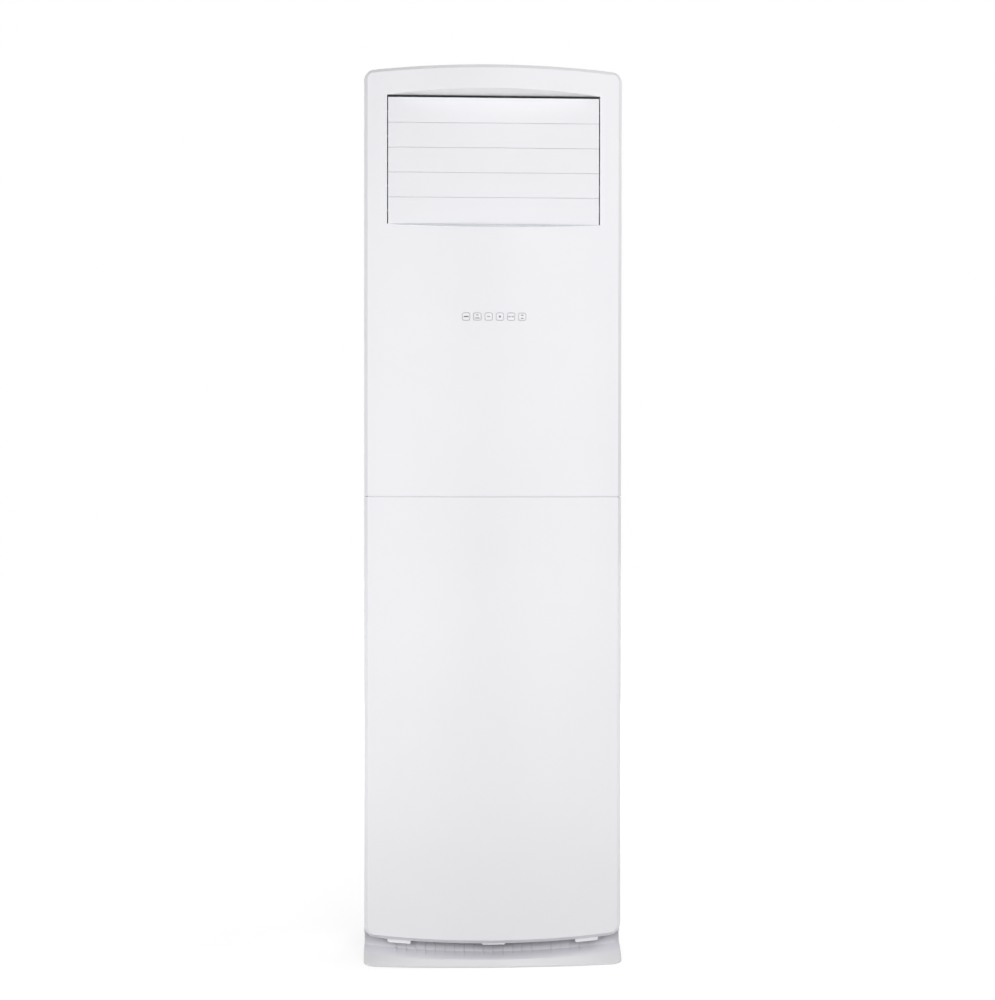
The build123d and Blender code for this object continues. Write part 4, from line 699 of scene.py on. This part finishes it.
def screwMesh():
    bm = bmesh.new()
    sides = screw["sides"]
    rings = []
    for radius, y in screw["profile"]:
        angles = [2 * pi * side / sides for side in range(sides)]
        rings.append([bm.verts.new((radius * cos(a) * mm, y * mm, radius * sin(a) * mm)) for a in angles])
    for low, high in zip(rings, rings[1:]):
        for side in range(sides):
            after = (side + 1) % sides
            bm.faces.new((low[side], low[after], high[after], high[side]))
    bm.faces.new(rings[0])
    top = screw["profile"][-1][1]
    mouth = crossLoop(bm, 1.0, top)
    floor = crossLoop(bm, screw["taper"], top - screw["deep"])
    rim = [bm.edges.get((rings[-1][i], rings[-1][(i + 1) % sides])) for i in range(sides)]
    bmesh.ops.triangle_fill(bm, use_beauty=True, edges=rim + loopEdges(bm, mouth))
    for i in range(len(mouth)):
        after = (i + 1) % len(mouth)
        bm.faces.new((mouth[i], mouth[after], floor[after], floor[i]))
    bm.faces.new(floor)
    bmesh.ops.recalc_face_normals(bm, faces=bm.faces)
    for face in bm.faces:
        face.smooth = True
    mesh = meshOf("rear_screw", bm)
    mesh.set_sharp_from_angle(angle=radians(screw["smooth"]))
    return mesh


low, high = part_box("rear_screws")
reach = high[0] - screw["head"] * mm
lowest, highest = low[2] + screw["head"] * mm, high[2] - screw["head"] * mm
step = (highest - lowest) / (screw["rows"] - 1)
seatY = low[1] + screw["length"] * mm
places = [(x, seatY, lowest + row * step) for row in range(screw["rows"]) for x in (-reach, reach)]
screws = repeated("rear_screws_finish", places, screwMesh(), screw["turn"], screw["seed"], "screw_steel")
addPiece("rear_screws_finish", screws, "root", "screw_steel", ("rear_screws",))
print("rear screws placed:", len(places))


def barMesh(name, size):
    bm = bmesh.new()
    bmesh.ops.create_cube(bm, size=1.0)
    for v in bm.verts:
        v.co = Vector([v.co[i] * size[i] for i in range(3)])
    return meshOf(name, bm)


# woven threads on the outer side of the filters' mesh
thread = {"pitch": 2.4 * mm, "thick": 0.5 * mm, "off": 0.15 * mm, "frame": 3.0 * mm, "turn": 0.0, "seed": 1}
for side, sign in (("left", -1), ("right", 1)):
    low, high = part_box(side + "_intake_filter")
    middle = [(low[i] + high[i]) / 2 for i in range(3)]
    middle[0] += sign * thread["off"]
    wide, tall = (high[i] - low[i] - 2 * thread["frame"] for i in (1, 2))
    ways = {
        "up": ((thread["thick"], thread["thick"], tall), wide, 1),
        "across": ((thread["thick"], wide, thread["thick"]), tall, 2),
    }
    for way, (size, span, along) in ways.items():
        count = int(span / thread["pitch"])
        points = []
        for index in range(count):
            place = list(middle)
            place[along] += (index - (count - 1) / 2) * thread["pitch"]
            points.append(tuple(place))
        name = f"{side}_filter_threads_{way}"
        bar = barMesh(name + "_bar", size)
        mesh = repeated(name, points, bar, thread["turn"], thread["seed"], "thread")
        ownPiece(name, mesh, side + "_intake", "thread")
print("filter threads woven")


def addBar(name, size, middle, body):
    mesh = barMesh(name, size)
    mesh.transform(Matrix.Translation(middle))
    addPiece(name, mesh, body, "white_moulding")


# a light lip that closes the gap under the lowest slat, moulded on the sill
lip = {"half": 207.6 * mm, "front": 0.1 * mm, "deep": 2.2 * mm, "tall": 1.1 * mm, "clear": 0.12 * mm}
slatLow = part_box("slat_1")[0]
lipMiddle = (0, slatLow[1] + lip["front"] + lip["deep"] / 2, slatLow[2] - lip["clear"] - lip["tall"] / 2)
addBar("sill_lip", (2 * lip["half"], lip["deep"], lip["tall"]), lipMiddle, "root")

# rebates on the upper edges of the slats, which close the gaps between them
rebate = {"half": 205.9 * mm, "behind": 1.3 * mm, "deep": 1.4 * mm, "rooted": 0.15 * mm, "tall": 0.58 * mm}
rebateSize = (2 * rebate["half"], rebate["deep"], rebate["rooted"] + rebate["tall"])
for number in range(1, 5):
    low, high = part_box(f"slat_{number}")
    y = low[1] + rebate["behind"] + rebate["deep"] / 2
    z = high[2] - rebate["rooted"] + rebateSize[2] / 2
    addBar(f"slat_{number}_rebate", rebateSize, (0, y, z), f"slat_{number}")
print("sill lip and rebates made")

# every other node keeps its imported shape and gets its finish
for node, thing in frame["nodes"].items():
    if node not in roundings and node != "rear_screws":
        thing.data.materials.clear()
        thing.data.materials.append(finishes[slotOf[node]])

# floor, backdrop, light and camera; the floor glows where it is seen, most of all far from the object
stageLook = {
    "half": 12.0, "floor": (0.34, 0.34, 0.344), "rough": 0.9,
    "near": 0.72, "far": 1.0, "nearEdge": 0.5, "farEdge": 1.9,
    "world": (0.955, 0.955, 0.965), "level": 0.045,
}


def stageMaterial():
    shade = Shade("paleFloor")
    straight, glossy, through = (
        shade.node("LightPath", {}, {}, f"Is {kind} Ray") for kind in ("Camera", "Glossy", "Transmission")
    )
    seen = shade.node("Math", {"operation": "ADD", "use_clamp": True}, {0: straight + glossy, 1: through})
    away = shade.node("VectorMath", {"operation": "LENGTH"}, {"Vector": shade.place}, "Value")
    spread = shade.node(
        "MapRange", {"interpolation_type": "SMOOTHSTEP"},
        {"Value": away, "From Min": stageLook["nearEdge"], "From Max": stageLook["farEdge"],
         "To Min": stageLook["near"], "To Max": stageLook["far"]},
    )
    return shade.done(
        Base_Color=stageLook["floor"],
        Roughness=stageLook["rough"],
        Emission_Color=shade.mix(seen * spread, (0, 0, 0), (1, 1, 1)),
        Emission_Strength=1.0,
    )


floorMesh = bpy.data.meshes.new("floor")
half = stageLook["half"]
floorCorners = [(-half, -half, 0), (half, -half, 0), (half, half, 0), (-half, half, 0)]
floorMesh.from_pydata(floorCorners, [], [(0, 1, 2, 3)])
floorMesh.materials.append(stageMaterial())
linked("floor", floorMesh)

# the camera sees a white world, and the object is lit by a dim one
world = bpy.data.worlds.new("studio")
bpy.context.scene.world = world
world.use_nodes = True
sky = world.node_tree
back = sky.nodes["Background"]
back.inputs["Color"].default_value = (*stageLook["world"], 1)
back.inputs["Strength"].default_value = stageLook["level"]
white = sky.nodes.new("ShaderNodeBackground")
white.inputs["Color"].default_value = (1, 1, 1, 1)
white.inputs["Strength"].default_value = 1.0
rays = sky.nodes.new("ShaderNodeLightPath")
blend = sky.nodes.new("ShaderNodeMixShader")
sky.links.new(rays.outputs["Is Camera Ray"], blend.inputs["Fac"])
sky.links.new(back.outputs["Background"], blend.inputs[1])
sky.links.new(white.outputs["Background"], blend.inputs[2])
sky.links.new(blend.outputs[0], sky.nodes["World Output"].inputs["Surface"])

lamps = {  # only the one behind shows in glossy surfaces
    "frontLeft": {"at": (-1.3, -2.5, 1.15), "aim": (0, 0, 1.2), "size": 2.2, "power": 31.9},
    "frontRight": {"at": (1.1, -2.5, 1.15), "aim": (0, 0, 1.2), "size": 2.2, "power": 29.6},
    "highSoft": {"at": (0.7, -2.9, 2.7), "aim": (0, 0, 1.2), "size": 1.8, "power": 22.3},
    "leftSoft": {"at": (-2.8, -0.1, 1.2), "aim": (0, 0, 1.1), "size": 1.8, "power": 34.0},
    "rightSoft": {"at": (2.8, -0.1, 2.2), "aim": (0, 0, 1.5), "size": 1.8, "power": 41.0},
    "topSoft": {"at": (0, 0.2, 3.9), "aim": (0, 0.1, 1.0), "size": 2.0, "power": 20.0},
    "backSoft": {"at": (0.4, 3.3, 1.5), "aim": (0, 0, 0.9), "size": 2.4, "power": 48.0},
}
for name, look in lamps.items():
    light = bpy.data.lights.new(name, "AREA")
    light.shape = "DISK"
    light.size = look["size"]
    light.energy = look["power"]
    lamp = linked(name, light)
    lamp.location = look["at"]
    lamp.visible_glossy = name == "backSoft"
    way = Vector(look["aim"]) - Vector(look["at"])
    lamp.rotation_euler = way.to_track_quat("-Z", "Y").to_euler()

# angles in degrees, focal length in pixels of the photograph's width
shot = {
    "at": (-0.0989, -3.055, 0.9404), "yaw": 2.083, "pitch": -0.653, "roll": -0.060,
    "pixels": 995, "focal": 1499.2, "sensor": 36.0,
}
lens = bpy.data.cameras.new("photoCamera")
lens.sensor_fit = "HORIZONTAL"
lens.sensor_width = shot["sensor"]
lens.lens = shot["focal"] * shot["sensor"] / shot["pixels"]
camera = linked("photoCamera", lens)
camera.location = shot["at"]
turns = (90 + shot["pitch"], shot["roll"], -shot["yaw"])
camera.rotation_euler = Euler([radians(turn) for turn in turns], "XYZ")
bpy.context.scene.camera = camera
bpy.context.scene.view_settings.view_transform = "Standard"
print("stage, lamps and camera set")
